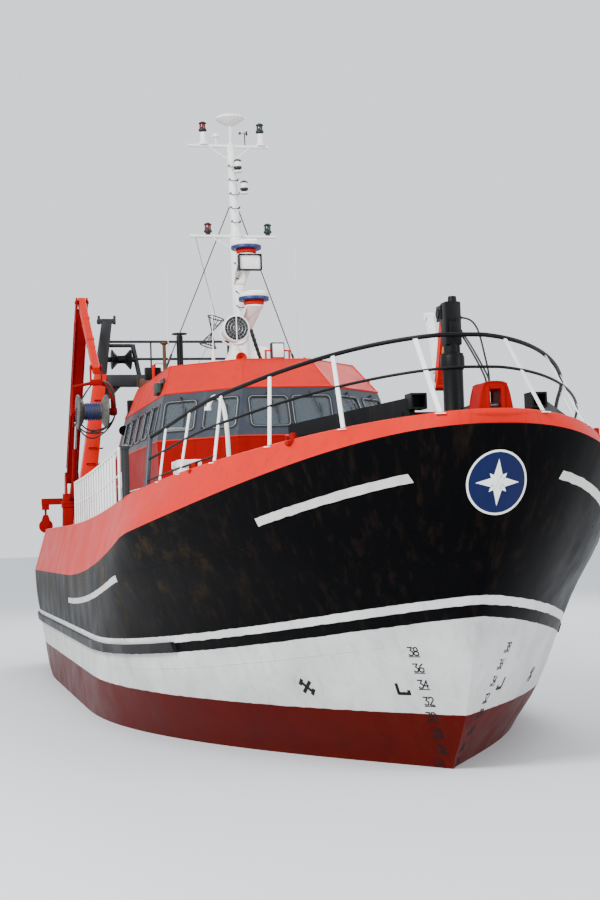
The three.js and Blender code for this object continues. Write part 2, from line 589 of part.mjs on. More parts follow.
// Foredeck windlass: a drum with a warping head, between two bearers
const WINDLASS = { x: 9750, z: sheer(9750) + 560 };
const WINDLASS_BED = [WINDLASS.x - 350, WINDLASS.x + 350];
const cheek = (y) => plateXZ([
  [WINDLASS_BED[0], sheer(WINDLASS_BED[0]) - 300], [WINDLASS_BED[1], sheer(WINDLASS_BED[1]) - 300],
  [WINDLASS.x + 200, WINDLASS.z + 170], [WINDLASS.x - 200, WINDLASS.z + 170],
], [y - 30, y + 30]);
const bearerHole = bore([WINDLASS.x, -2000, WINDLASS.z], [WINDLASS.x, 2000, WINDLASS.z], 60, 14);
add("windlass_frame", cut(join(cheek(-620), cheek(620),
  box(WINDLASS_BED, [-650, 650], [sheer(WINDLASS_BED[0]) - 200, sheer(WINDLASS_BED[1]) + 60]),
), bearerHole, belowDeck), "black");
const drumProfile = [[0, -900], [110, -900], [80, -800], [110, -700], [60, -690], [60, -560], [230, -550],
  [230, -510], [120, -500], [120, 500], [230, 510], [230, 550], [60, 560], [60, 690], [110, 700],
  [80, 800], [110, 900], [0, 900]];
add("windlass_drum", turned(drumProfile, [WINDLASS.x, 0, WINDLASS.z], [0, 1, 0], 14), "darkGrey");

// Foredeck crane: pedestal, slewing column, folded boom and jib
const FORE_CRANE = [11260, 0];
const COLLAR = [5030, 5180];
const foreDeck = sheer(FORE_CRANE[0]);
add("fore_crane_pedestal", cut(join(
  bar([...FORE_CRANE, foreDeck - 300], [...FORE_CRANE, COLLAR[1]], 128, 16),
  bar([...FORE_CRANE, COLLAR[0]], [...FORE_CRANE, COLLAR[1]], 152, 16),
), belowDeck), "darkGrey");
const FORE_PIVOT = [FORE_CRANE[0] - 190, 0, 5740];
const FORE_JIB_PIVOT = [FORE_PIVOT[0] - 330, 0, 4860];
const across = ([x, , z], half, r, sides = 12) => bar([x, -half, z], [x, half, z], r, sides);
const boreAcross = ([x, , z], half, r, sides = 12) => bore([x, -half, z], [x, half, z], r, sides);
const foreEars = [-1, 1].map((side) => box([FORE_PIVOT[0] - 70, FORE_CRANE[0]],
  [side * 90 - 15, side * 90 + 15], [5640, 5840]));
add("fore_crane_column", cut(join(
  bar([...FORE_CRANE, COLLAR[1] + FIT], [...FORE_CRANE, 5340], 104, 14),
  box([FORE_CRANE[0] - 105, FORE_CRANE[0] + 105], [-105, 105], [5310, 5860]),
  bar([FORE_CRANE[0] + 20, 20, 5850], [FORE_CRANE[0] + 20, 20, 5930], 60, 10),
  foreEars,
), boreAcross(FORE_PIVOT, 200, 40)), "darkGrey");
add("fore_crane_boom", join(
  bar(FORE_PIVOT, FORE_JIB_PIVOT, 62, 8),
  across(FORE_PIVOT, 104, 40),
  across(FORE_JIB_PIVOT, 60, 60),
  across(FORE_JIB_PIVOT, 112, 32),
), "salmonRed");
const foreJibTip = [FORE_JIB_PIVOT[0] - 300, 0, 5800];
const foreJibEyes = [-1, 1].flatMap((side) => {
  const [x, , z] = FORE_JIB_PIVOT;
  return [
    bar([x, side * 72, z], [x, side * 108, z], 58, 12),
    bar([x - 10, side * 90, z + 20], [x - 62, side * 90, z + 220], 18, 6),
  ];
});
add("fore_crane_jib", cut(join(
  foreJibEyes,
  box([FORE_JIB_PIVOT[0] - 110, FORE_JIB_PIVOT[0] - 20], [-108, 108],
    [FORE_JIB_PIVOT[2] + 170, FORE_JIB_PIVOT[2] + 240]),
  bar([FORE_JIB_PIVOT[0] - 60, 0, FORE_JIB_PIVOT[2] + 200], foreJibTip, 48, 8),
), boreAcross(FORE_JIB_PIVOT, 200, 32)), "white");

// Mast with two yards, its lamps, radar brackets and two stays
const onMast = (z) => {
  const t = (z - MAST_FOOT[2]) / (MAST_TOP[2] - MAST_FOOT[2]);
  return [mix(MAST_FOOT[0], MAST_TOP[0], t), 0, z];
};
const roofRoom = frustum(at(BAND_HEAD, BAND_TOP), at(ROOF_EDGE, ROOF_TOP + GAP));
const yard = (z, half, r) => bar([onMast(z)[0], -half, z], [onMast(z)[0], half, z], r, 8);
const UPPER_YARD = 11190;
const LOWER_YARD = 9240;
const TALL_LAMP = [[0, 0], [110, 0], [60, 300], [95, 300], [85, 480], [0, 520]];
const SHORT_LAMP = [[0, 0], [50, 0], [45, 40], [85, 60], [78, 180], [0, 205]];
const lampOn = (profile, z, y) => turned(profile, [onMast(z)[0], y, z], [0, 0, 1], 10);
const stay = (foot) => bar([onMast(10100)[0], 0, 10100], [-1500, foot, ROOF_TOP - 20], 12, 6);
const radarArm = ({ z, y, reach }) =>
  bar([onMast(z - 560)[0] + 60, 0, z - 560], [onMast(z)[0] + reach, y, z - 60], 70, 8, 150);
const UPPER_RADAR = { z: 8790, y: 90, reach: 500, r: 310 };
const LOWER_RADAR = { z: 7700, y: 160, reach: 620, r: 310 };
add("mast", cut(join(
  bar([MAST_FOOT[0] + 37, 0, ROOF_TOP - 300], onMast(LOWER_YARD), 165, 12, 130),
  bar(onMast(LOWER_YARD - 20), onMast(UPPER_YARD + 80), 105, 10, 75),
  yard(UPPER_YARD, 820, 35), yard(LOWER_YARD, 860, 35),
  [-580, 640].map((y) => lampOn(TALL_LAMP, UPPER_YARD + 20, y)),
  [-580, 680].map((y) => lampOn(SHORT_LAMP, LOWER_YARD + 20, y)),
  turned([[0, 0], [30, 0], [30, 420], [300, 560], [300, 620], [0, 660]], onMast(UPPER_YARD), [0, 0, 1], 14),
  radarArm(UPPER_RADAR), radarArm(LOWER_RADAR),
  stay(-1640), stay(1250),
), roofRoom, [UPPER_RADAR, LOWER_RADAR].map(({ z, y, reach }) => bar(
  [onMast(z)[0] + reach, y, z - 20], [onMast(z)[0] + reach, y, z + 340], 320, 18))), "white");
for (const [name, radar] of [["radar_upper", UPPER_RADAR], ["radar_lower", LOWER_RADAR]]) {
  const profile = [
    [0, GAP], [200, GAP], [200, 90], [radar.r, 130], [radar.r, 190], [radar.r - 30, 260], [0, 290],
  ];
  const seat = [onMast(radar.z)[0] + radar.reach, radar.y, radar.z - 20];
  add(name, turned(profile, seat, [0, 0, 1], 18), "white");
}

// Searchlight on its conical base, on the roof ahead of the mast
const SEARCHLIGHT = [-150, -390];
add("searchlight_base", turned([[0, GAP], [330, GAP], [240, 180], [110, 420], [0, 420]],
  [...SEARCHLIGHT, ROOF_TOP], [0, 0, 1], 16), "white");
const lampCentre = [SEARCHLIGHT[0], SEARCHLIGHT[1], ROOF_TOP + 800];
add("searchlight", join(
  turned([[0, -160], [250, -160], [250, 160], [200, 200], [0, 200]], lampCentre, [-1, 0, 0], 18),
  bar([...SEARCHLIGHT, ROOF_TOP + 420 + FIT], [...SEARCHLIGHT, ROOF_TOP + 620], 60, 10),
), "white");

// Exhaust pipe, slim post, dome, and lights on the roof
const capPost = (r, height, cap, [x, y], sides = 12) => turned(
  [[0, GAP], [r, GAP], [r, height], [cap, height + 5], [cap, height + 35], [0, height + 35]],
  [x, y, ROOF_TOP], [0, 0, 1], sides);
add("exhaust_pipe", capPost(70, 1120, 165, [-3300, -950]), "black");
add("vent_post", capPost(38, 930, 85, [-3300, -1290]), "darkGrey");
const DOME = [[0, GAP], [60, GAP], [60, 480], [180, 520], [230, 620], [215, 760], [130, 860], [0, 890]];
add("satellite_dome", turned(DOME, [-3550, 900, ROOF_TOP], [0, 0, 1], 16), "white");
const FLOOD = { x: 950, posts: [-30, 430], rail: ROOF_TOP + 75, box: [ROOF_TOP + 80, ROOF_TOP + 400] };
add("floodlight_bracket", join(
  FLOOD.posts.map((y) => bar([FLOOD.x, y, ROOF_TOP + GAP], [FLOOD.x, y, FLOOD.rail + 15], 22, 8)),
  bar([FLOOD.x, FLOOD.posts[0] - 20, FLOOD.rail], [FLOOD.x, FLOOD.posts[1] + 20, FLOOD.rail], 22, 8),
  box([FLOOD.x - 90, FLOOD.x + 70], [70, 330], FLOOD.box),
), "darkGrey");

// Aft gantry: two legs that lean inwards, and a cross-beam. The starboard leg runs on above the
// beam and carries a towing roller. Two rails reach from it to a post on the beam.
const GANTRY = {
  footY: 3040, headY: 2200, headZ: 8070, beam: [6560, 6830], x: [GANTRY_X - 250, GANTRY_X + 250],
};
const legTop = { [-1]: GANTRY.headZ, 1: GANTRY.beam[1] - 5 };
const legs = [-1, 1].map((side) => {
  const across = (y, z) => [side * y, z];
  const outline = [across(GANTRY.footY + 220, 2200), across(GANTRY.footY - 220, 2200),
    across(GANTRY.headY - 110, GANTRY.headZ), across(GANTRY.headY + 110, GANTRY.headZ)];
  const foot = plateYZ(side < 0 ? outline : outline.slice().reverse(), GANTRY.x);
  return foot.intersect(plateXZ([[GANTRY_X - 250, 2200], [GANTRY_X + 250, 2200], [GANTRY_X + 120, 8100],
    [GANTRY_X - 120, 8100]], [-3400, 3400])).intersect(box(GANTRY.x, [-3400, 3400], [2100, legTop[side]]));
});
const beam = box([GANTRY_X - 130, GANTRY_X + 130], [-2400, 2400], GANTRY.beam);
const RAIL_END = 620;
const athwart = (y0, y1, z, r, sides) => bar([GANTRY_X, y0, z], [GANTRY_X, y1, z], r, sides);
const upright = (y, z0, z1, r) => bar([GANTRY_X, y, z0], [GANTRY_X, y, z1], r, 8);
const topBars = [
  athwart(-2200, RAIL_END + 20, 7600, 30, 8), athwart(-1560, RAIL_END, 7200, 30, 8),
  upright(RAIL_END, GANTRY.beam[1] - 20, 7610, 30), upright(-1200, GANTRY.beam[1] - 20, 7600, 20),
];
const ROLLER = { y: -1890, z: 7190, half: 225, r: 230, bore: 28 };
const rollerFrame = [
  athwart(-2220, -1620, 7510, 42, 8),
  bar([GANTRY_X, -1620, 7535], [GANTRY_X, -1480, 6800], 55, 8),
  athwart(-1655, -1530, ROLLER.z, 62, 10),
  athwart(-2270, -2125, ROLLER.z, 62, 10),
];
const rollerBore = bore([GANTRY_X, -2175, ROLLER.z], [GANTRY_X, -1605, ROLLER.z], ROLLER.bore, 10);
add("gantry", cut(join(legs, beam, topBars, rollerFrame), belowDeck, rollerBore), "darkGrey");
const AXLE = ROLLER.half + 45;
const SHEAVE = [
  [0, -AXLE], [ROLLER.bore, -AXLE], [ROLLER.bore, -ROLLER.half], [ROLLER.r, -ROLLER.half],
  [ROLLER.r - 10, -ROLLER.half + 30], [90, -85], [90, 85], [ROLLER.r - 10, ROLLER.half - 30],
  [ROLLER.r, ROLLER.half], [ROLLER.bore, ROLLER.half], [ROLLER.bore, AXLE], [0, AXLE],
];
add("towing_roller", turned(SHEAVE, [GANTRY_X, ROLLER.y, ROLLER.z], [0, 1, 0], 16), "black");
// Knuckle crane on the starboard side. It works in the vertical plane at CRANE_Y.
const CRANE_Y = -2760;
const CRANE_X = -9100;
const CRANE_PIVOT = [CRANE_X, 4650];
const KNUCKLE_PIN = [-5800, 8500];
const JIB_END = [-3350, 6720];
const inPlane = ([x, z], y = CRANE_Y) => [x, y, z];
const pin = ([x, z], r, half) => bar([x, CRANE_Y - half, z], [x, CRANE_Y + half, z], r, 12);
const pinBore = ([x, z], r, half) => bore([x, CRANE_Y - half, z], [x, CRANE_Y + half, z], r, 12);
const along = (a, b, share, off = 0) => {
  const length = Math.hypot(b[0] - a[0], b[1] - a[1]);
  const n = [-(b[1] - a[1]) / length, (b[0] - a[0]) / length];
  return [mix(a[0], b[0], share) + n[0] * off, mix(a[1], b[1], share) + n[1] * off];
};
// A beam between two pins: its depth at both ends, and its half-width.
const beamXZ = (a, b, deepA, deepB, half, from = 0, to = 1) => plateXZ(
  [along(a, b, from, -deepA), along(a, b, to, -deepB), along(a, b, to, deepB), along(a, b, from, deepA)],
  [CRANE_Y - half, CRANE_Y + half],
);
const forks = (a, b, deep, inner, from, to) => [-1, 1].map((side) =>
  beamXZ(a, b, deep, deep, 20, from, to).translate([0, side * (inner + 20), 0]));
add("crane_pedestal", cut(join(
  bar([CRANE_X, CRANE_Y, 2200], [CRANE_X, CRANE_Y, 4000], 290, 16, 240),
), belowDeck, bulwarkRoom), "deepRed");
const COLUMN_FOOT = 4000 + FIT;
const BOOM_HALF = 120;
const FORK = BOOM_HALF + 6;
const columnFork = [-1, 1].map((side) => plateXZ([[CRANE_X - 230, 4250], [CRANE_X + 230, 4250],
  [CRANE_X + 130, 4780], [CRANE_X - 130, 4780]],
  [CRANE_Y + side * (FORK + 20) - 20, CRANE_Y + side * (FORK + 20) + 20]));
const LUFF_FOOT = [CRANE_X + 330, 4180];
add("crane_column", cut(join(
  bar([CRANE_X, CRANE_Y, COLUMN_FOOT], [CRANE_X, CRANE_Y, 4260], 235, 16),
  columnFork,
  [-1, 1].map((side) => box([CRANE_X, CRANE_X + 400],
    [CRANE_Y + side * 85 - 15, CRANE_Y + side * 85 + 15], [4060, 4250])),
), pinBore(CRANE_PIVOT, 40, 400), pinBore(LUFF_FOOT, 28, 400)), "deepRed");
const LUFF_HEAD = along(CRANE_PIVOT, KNUCKLE_PIN, 0.36, -230);
// Two plates under the boom take the cylinder's rod eye between them
const boomLugs = [-1, 1].map((side) => plateXZ(
  [along(CRANE_PIVOT, KNUCKLE_PIN, 0.32, -120), along(CRANE_PIVOT, KNUCKLE_PIN, 0.348, -300),
    along(CRANE_PIVOT, KNUCKLE_PIN, 0.372, -300), along(CRANE_PIVOT, KNUCKLE_PIN, 0.4, -120)],
  [CRANE_Y + side * 72 - 12, CRANE_Y + side * 72 + 12],
));
add("crane_boom", cut(join(
  beamXZ(CRANE_PIVOT, KNUCKLE_PIN, 150, 120, BOOM_HALF, 0, 0.955),
  pin(CRANE_PIVOT, 40, FORK + 40),
  boomLugs,
  forks(CRANE_PIVOT, KNUCKLE_PIN, 110, 96, 0.94, 1.02),
), pinBore(KNUCKLE_PIN, 40, 400)), "deepRed");
add("crane_jib", cut(join(
  beamXZ(KNUCKLE_PIN, JIB_END, 115, 88, 76, 0, 1.04),
  pin(KNUCKLE_PIN, 40, 136),
), pinBore(JIB_END, 30, 400)), "salmonRed");

// Cylinders of the crane: a barrel on its foot pin, and a rod that slides in it
function cylinder(name, foot, head, r, stroke) {
  const length = Math.hypot(head[0] - foot[0], head[1] - foot[1]);
  const barrelShare = (length - stroke) / length;
  const rodBore = bore(inPlane(along(foot, head, 0.16)), inPlane(along(foot, head, 1.2)), r * 0.5);
  add(name + "_barrel", cut(join(
    bar(inPlane(along(foot, head, 0)), inPlane(along(foot, head, barrelShare)), r, 12),
    pin(foot, r * 1.1, 60),
    pin(foot, 28, 110),
  ), rodBore), "deepRed");
  add(name + "_rod", join(
    bar(inPlane(along(foot, head, 0.32)), inPlane(along(foot, head, 0.97)), r * 0.5, 12),
    pin(head, r * 1.05, 50),
  ), "steel");
}
cylinder("luff_cylinder", LUFF_FOOT, LUFF_HEAD, 58, 700);

// Power block: a head on the jib's end, and a curved arm that carries a flanged drum
const DRUM_Y = CRANE_Y - 95;
const BLOCK = [JIB_END[0], JIB_END[1] - 930];
const HEAD_TOP = JIB_END[1] - 250;
const armPlate = (side) => box([JIB_END[0] - 70, JIB_END[0] + 70],
  [CRANE_Y + side * 112 - 16, CRANE_Y + side * 112 + 16], [HEAD_TOP - 10, JIB_END[1] + 70]);
const ARM_Y = DRUM_Y + 445;
const OUTER_Y = DRUM_Y - 410;
const curvedArm = pipe([
  [BLOCK[0], CRANE_Y - 60, HEAD_TOP - 50], [BLOCK[0], CRANE_Y + 150, HEAD_TOP - 60],
  [BLOCK[0], ARM_Y - 40, HEAD_TOP - 160], [BLOCK[0], ARM_Y + 20, HEAD_TOP - 400],
  [BLOCK[0], ARM_Y, BLOCK[1] - 90],
], 55, 14, 8);
add("power_block_arm", cut(join(
  pin(JIB_END, 30, 130), armPlate(-1), armPlate(1),
  box([JIB_END[0] - 70, JIB_END[0] + 70], [CRANE_Y - 128, CRANE_Y + 128], [HEAD_TOP - 120, HEAD_TOP]),
  curvedArm,
  bar([BLOCK[0], CRANE_Y - 100, HEAD_TOP - 70], [BLOCK[0], OUTER_Y, HEAD_TOP - 160], 35, 8),
  bar([BLOCK[0], OUTER_Y, HEAD_TOP - 130], [BLOCK[0], OUTER_Y, BLOCK[1] - 70], 35, 8),
), pinBore(BLOCK, 25, 700)), "deepRed");
add("power_block_drum", join(
  turned([[0, -345], [360, -320], [370, -290], [190, -150], [170, 150], [350, 290], [345, 330], [0, 345]],
    [BLOCK[0], DRUM_Y, BLOCK[1]], [0, 1, 0], 20),
  bar([BLOCK[0], OUTER_Y - 30, BLOCK[1]], [BLOCK[0], ARM_Y + 30, BLOCK[1]], 25, 12),
), "darkGrey");

// Gallows on each quarter: a tapered post with an arm over the side, and its hanging block
const GALLOWS_X = -11300;
const railAft = bulwarkHeight(GALLOWS_X);
const ARM_Z = [4050, 4210];
const HANGER = { y: 3240, z: railAft + 600 };
const BLOCK_DROP = 480;
const spanY = (side, inner, outer) => (side > 0 ? [inner, outer] : [-outer, -inner]);
const hangerPin = (side, half, shape) =>
  shape([GALLOWS_X - half, side * HANGER.y, HANGER.z], [GALLOWS_X + half, side * HANGER.y, HANGER.z], 18, 8);
for (const [name, side] of [["starboard", -1], ["port", 1]]) {
  const x = GALLOWS_X;
  const post = [[2300, 2300], [2860, 2300], [2560, 4650], [2380, 4650]].map(([y, z]) => [side * y, z]);
  add("gallows_" + name, cut(join(
    plateYZ(side > 0 ? post : post.slice().reverse(), [x - 90, x + 90]),
    box([x - 90, x + 90], spanY(side, 2500, 3340), ARM_Z),
    [-1, 1].map((end) => box([x - 14 + end * 60, x + 14 + end * 60], spanY(side, 3150, 3330),
      [HANGER.z - 60, ARM_Z[0] + 60])),
  ), belowDeck, hangerPin(side, 200, bore)), "deepRed");
  const low = HANGER.z - BLOCK_DROP;
  add("towing_block_" + name, join(
    hangerPin(side, 78, bar),
    box([x - 32, x + 32], spanY(side, HANGER.y - 28, HANGER.y + 28), [HANGER.z - 250, HANGER.z + 30]),
    box([x - 44, x + 44], spanY(side, HANGER.y - 100, HANGER.y + 100), [low, HANGER.z - 190]),
    bar([x - 48, side * HANGER.y, low], [x + 48, side * HANGER.y, low], 180, 16),
  ), "deepRed");
}

// Net drum on the after deck
const NET_DRUM = { x: -8300, z: MAIN_DECK + 950, half: 1250 };
const drumStand = (y) => plateXZ([[NET_DRUM.x - 600, MAIN_DECK + GAP], [NET_DRUM.x + 600, MAIN_DECK + GAP],
  [NET_DRUM.x + 180, NET_DRUM.z + 190], [NET_DRUM.x - 180, NET_DRUM.z + 190]], [y - 45, y + 45]);
add("net_drum_frame", cut(join(
  drumStand(-NET_DRUM.half - 120), drumStand(NET_DRUM.half + 120),
  [-600, 500].map((dx) => box([NET_DRUM.x + dx, NET_DRUM.x + dx + 100],
    [-NET_DRUM.half - 130, NET_DRUM.half + 130], [MAIN_DECK + GAP, MAIN_DECK + 100])),
), bore([NET_DRUM.x, -2000, NET_DRUM.z], [NET_DRUM.x, 2000, NET_DRUM.z], 60, 20)), "deepRed");
const NET_REEL = [
  [0, -1400], [60, -1400], [60, -1250], [780, -1240], [780, -1200], [210, -1190], [210, 1190],
  [780, 1200], [780, 1240], [60, 1250], [60, 1400], [0, 1400],
];
add("net_drum", turned(NET_REEL, [NET_DRUM.x, 0, NET_DRUM.z], [0, 1, 0], 20), "darkGrey");

// Trawl winch behind the gantry's feet: two warp drums on one bed
const WINCH = { x: -6780, z: MAIN_DECK + 560 };
const winchCheek = (y) => plateXZ([[WINCH.x - 420, MAIN_DECK + GAP], [WINCH.x + 420, MAIN_DECK + GAP],
  [WINCH.x + 140, WINCH.z + 160], [WINCH.x - 140, WINCH.z + 160]], [y - 35, y + 35]);
add("trawl_winch_frame", cut(join(
  [-1880, -160, 160, 1880].map(winchCheek),
  [-400, 300].map((dx) =>
    box([WINCH.x + dx, WINCH.x + dx + 100], [-1900, 1900], [MAIN_DECK + GAP, MAIN_DECK + 90])),
), bore([WINCH.x, -2300, WINCH.z], [WINCH.x, 2300, WINCH.z], 50, 18)), "deepRed");
const WARP_REEL = [
  [0, -890], [50, -890], [50, -800], [430, -790], [430, -760], [130, -750], [130, 750], [430, 760],
  [430, 790], [50, 800], [50, 890], [0, 890],
];
for (const [name, side] of [["warp_drum_starboard", -1], ["warp_drum_port", 1]]) {
  add(name, turned(WARP_REEL, [WINCH.x, side * 1020, WINCH.z], [0, 1, 0], 18), "darkGrey");
}

// Hatches: a coaming with a lid hinged at its forward edge
function hatch(name, x, y, half, deck) {
  const top = deck + 420;
  const outer = box([x - half, x + half], [y - half, y + half], [deck - 300, top]);
  const inner = box([x - half + 40, x + half - 40], [y - half + 40, y + half - 40], [deck - 400, top + 100]);
  const hinges = [-1, 1].map((side) => {
    const lug = [y + side * half * 0.6 - 25, y + side * half * 0.6 + 25];
    const foot = box([x + half - 5, x + half + 110], lug, [top - 120, top - 4]);
    const eye = box([x + half + 25, x + half + 110], lug, [top - 20, top + 60]);
    const pinHole = bore([x + half + 70, y - half, top + 30], [x + half + 70, y + half, top + 30], 13, 10);
    return cut(join(foot, eye), pinHole);
  });
  add(name + "_coaming", cut(join(cut(outer, inner), hinges), belowDeck), "deepRed");
  add(name + "_lid", join(
    box([x - half - 30, x + half], [y - half - 30, y + half + 30], [top + GAP, top + 50]),
    bar([x + half + 70, y - half * 0.8, top + 30], [x + half + 70, y + half * 0.8, top + 30], 13, 10),
    [-0.4, 0.4].map((share) => box([x + half - 20, x + half + 70],
      [y + share * half - 20, y + share * half + 20], [top + 20, top + 40])),
  ), "darkGrey");
}
hatch("fish_hatch", -10500, 0, 650, MAIN_DECK);
hatch("fore_hatch", 8300, 0, 400, sheer(8300));

// Paired mooring bollards on the foredeck
const BOLLARD = { x: 9300, y: 1800 };
for (const [name, side] of [["bollards_starboard", -1], ["bollards_port", 1]]) {
  const deck = sheer(BOLLARD.x);
  const y = side * BOLLARD.y;
  add(name, cut(join(
    box([BOLLARD.x - 330, BOLLARD.x + 330], [y - 120, y + 120], [deck - 200, deck + 60]),
    [-190, 190].map((dx) => bar([BOLLARD.x + dx, y, deck], [BOLLARD.x + dx, y, deck + 420], 85, 12)),
  ), belowDeck), "black");
}
export default part;
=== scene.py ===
"""The visible finish of a steel stern trawler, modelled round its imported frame."""
import math

import bmesh
import bpy
from bpy.props import FloatProperty, FloatVectorProperty, PointerProperty
from mathutils import Matrix, Vector
from mathutils.bvhtree import BVHTree


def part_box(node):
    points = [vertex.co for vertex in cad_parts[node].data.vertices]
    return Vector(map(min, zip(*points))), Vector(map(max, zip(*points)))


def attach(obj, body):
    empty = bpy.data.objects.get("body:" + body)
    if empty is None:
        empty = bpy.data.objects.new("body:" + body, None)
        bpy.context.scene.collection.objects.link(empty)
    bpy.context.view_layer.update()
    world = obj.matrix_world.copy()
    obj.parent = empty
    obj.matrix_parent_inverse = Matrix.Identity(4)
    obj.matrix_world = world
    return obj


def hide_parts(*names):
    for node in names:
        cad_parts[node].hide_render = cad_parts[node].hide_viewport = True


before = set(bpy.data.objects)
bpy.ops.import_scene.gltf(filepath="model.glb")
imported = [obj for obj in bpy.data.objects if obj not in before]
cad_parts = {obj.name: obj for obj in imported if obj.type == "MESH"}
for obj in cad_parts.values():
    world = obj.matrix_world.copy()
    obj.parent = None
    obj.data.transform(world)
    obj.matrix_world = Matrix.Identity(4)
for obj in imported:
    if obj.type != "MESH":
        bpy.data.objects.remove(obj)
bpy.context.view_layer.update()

bl_info = {
    "name": "Stern trawler",
    "version": (1, 0, 0),
    "blender": (4, 5, 0),
    "location": "3D View > Sidebar > Trawler",
    "description": "Models the hull, deckhouse, mast and deck gear of a steel stern trawler",
    "category": "Add Mesh",
}

AHEAD, PORT, UP = Vector((1, 0, 0)), Vector((0, 1, 0)), Vector((0, 0, 1))
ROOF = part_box("wheelhouse_roof")[1].z
SIDES = {"starboard": -1, "port": 1}


def linear(code):
    """An sRGB hex colour as linear red, green, blue and alpha."""
    shares = [int(code[i:i + 2], 16) / 255 for i in (0, 2, 4)]
    return [s / 12.92 if s <= 0.04045 else ((s + 0.055) / 1.055) ** 2.4 for s in shares] + [1.0]


# Meshes


def rod(bm, start, end, radius, tip=None, sides=12):
    """A round bar between two points, with its own radius at the tip."""
    start, end = Vector(start), Vector(end)
    along = end - start
    place = Matrix.Translation((start + end) / 2) @ along.to_track_quat("Z", "Y").to_matrix().to_4x4()
    bmesh.ops.create_cone(
        bm, cap_ends=True, cap_tris=False, segments=sides, radius1=radius,
        radius2=radius if tip is None else tip, depth=along.length, matrix=place)


def block(bm, low, high, bevel=0.0, turn=None):
    """A box between two corners, its edges rounded by the bevel, turned about its middle."""
    low, high = Vector(low), Vector(high)
    size = high - low
    place = Matrix.Translation((low + high) / 2)
    if turn is not None:
        place = place @ turn
    scale = Matrix.Diagonal((*size, 1.0))
    verts = bmesh.ops.create_cube(bm, size=1.0, matrix=place @ scale)["verts"]
    if bevel:
        edges = {e for v in verts for e in v.link_edges}
        bmesh.ops.bevel(bm, geom=list(edges), offset=bevel, affect="EDGES", segments=2, profile=0.5, material=-1)


def slab(bm, outline, thickness, bevel=0.0):
    """A flat outline of points, made as thick as the given vector."""
    verts = [bm.verts.new(p) for p in outline]
    face = bmesh.ops.contextual_create(bm, geom=verts)["faces"][0]
    made = bmesh.ops.extrude_face_region(bm, geom=[face], use_keep_orig=True)["geom"]
    top = [g for g in made if isinstance(g, bmesh.types.BMVert)]
    bmesh.ops.translate(bm, verts=top, vec=Vector(thickness))
    faces = {f for v in verts + top for f in v.link_faces}
    bmesh.ops.recalc_face_normals(bm, faces=list(faces))
    if bevel:
        edges = {e for f in faces for e in f.edges}
        bmesh.ops.bevel(bm, geom=list(edges), offset=bevel, affect="EDGES", segments=1, profile=0.5, material=-1)


def turned(bm, profile, foot, axis, steps=24):
    """A turned piece: its profile is a list of radius and height along the axis."""
    foot, axis = Vector(foot), Vector(axis).normalized()
    out = axis.orthogonal().normalized()
    verts = [bm.verts.new(foot + out * r + axis * h) for r, h in profile]
    edges = [bm.edges.new(pair) for pair in zip(verts, verts[1:])]
    bmesh.ops.spin(
        bm, geom=verts + edges, cent=foot, axis=axis, dvec=(0, 0, 0), angle=math.tau, steps=steps,
        use_merge=True, use_duplicate=False)
    bmesh.ops.remove_doubles(bm, verts=bm.verts[:], dist=1e-5)


def mirrored(half):
    """A profile from its middle to one end, with the other end's mirror image before it."""
    return [(radius, -height) for radius, height in reversed(half)] + half[half[0][1] == 0:]


def hollow(inner, outer, low, high):
    """The closed profile of a square-edged ring."""
    return [(inner, low), (outer, low), (outer, high), (inner, high), (inner, low)]


def solid(radius, low, high):
    """The profile of a plain disc."""
    return [(0, low), (radius, low), (radius, high), (0, high)]


def circle(centre, axis, radius, count):
    """Evenly spaced points on a circle about an axis."""
    out = axis.orthogonal().normalized()
    return [centre + Matrix.Rotation(math.tau * k / count, 3, axis) @ out * radius for k in range(count)]


def spokes(count, across, upward, start=0.0, turn=math.tau):
    """Directions spread evenly over a turn in the plane of two others."""
    for k in range(count):
        angle = start + turn * k / count
        yield across * math.cos(angle) + upward * math.sin(angle)


def pipe(bm, points, radius, sides=2, closed=False, smooth=True):
    """A bent tube through the points, swept by a curve and brought into the mesh."""
    curve = bpy.data.curves.new("run", "CURVE")
    curve.dimensions = "3D"
    curve.bevel_depth = radius
    curve.bevel_resolution = sides
    curve.use_fill_caps = not closed
    curve.resolution_u = 6
    spline = curve.splines.new("NURBS" if smooth else "POLY")
    spline.points.add(len(points) - 1)
    for point, place in zip(spline.points, points):
        point.co = (*place, 1.0)
    spline.use_cyclic_u = closed
    if smooth:
        spline.order_u = min(4, len(points))
        spline.use_endpoint_u = not closed
    holder = bpy.data.objects.new("run", curve)
    bpy.context.scene.collection.objects.link(holder)
    bpy.context.view_layer.update()
    mesh = bpy.data.meshes.new_from_object(holder.evaluated_get(bpy.context.evaluated_depsgraph_get()))
    bm.from_mesh(mesh)
    bpy.data.objects.remove(holder)
    bpy.data.curves.remove(curve)
    bpy.data.meshes.remove(mesh)


def loft(bm, rings, cap=True, wall=False):
    """Rings of equally many points bridged into one skin."""
    loops = []
    for ring in rings:
        verts = bmesh.ops.create_circle(bm, cap_ends=False, radius=1.0, segments=len(ring))["verts"]
        for vert, place in zip(verts, ring):
            vert.co = place
        loops.append(verts)
    pairs = list(zip(loops, loops[1:]))
    if wall:
        pairs.append((loops[-1], loops[0]))
    for low, high in pairs:
        edges = [e for ring in (low, high) for v in ring for e in v.link_edges if e.other_vert(v) in ring]
        bmesh.ops.bridge_loops(bm, edges=list(set(edges)))
    if cap:
        for ring in (loops[0], loops[-1]):
            bmesh.ops.contextual_create(bm, geom=ring)


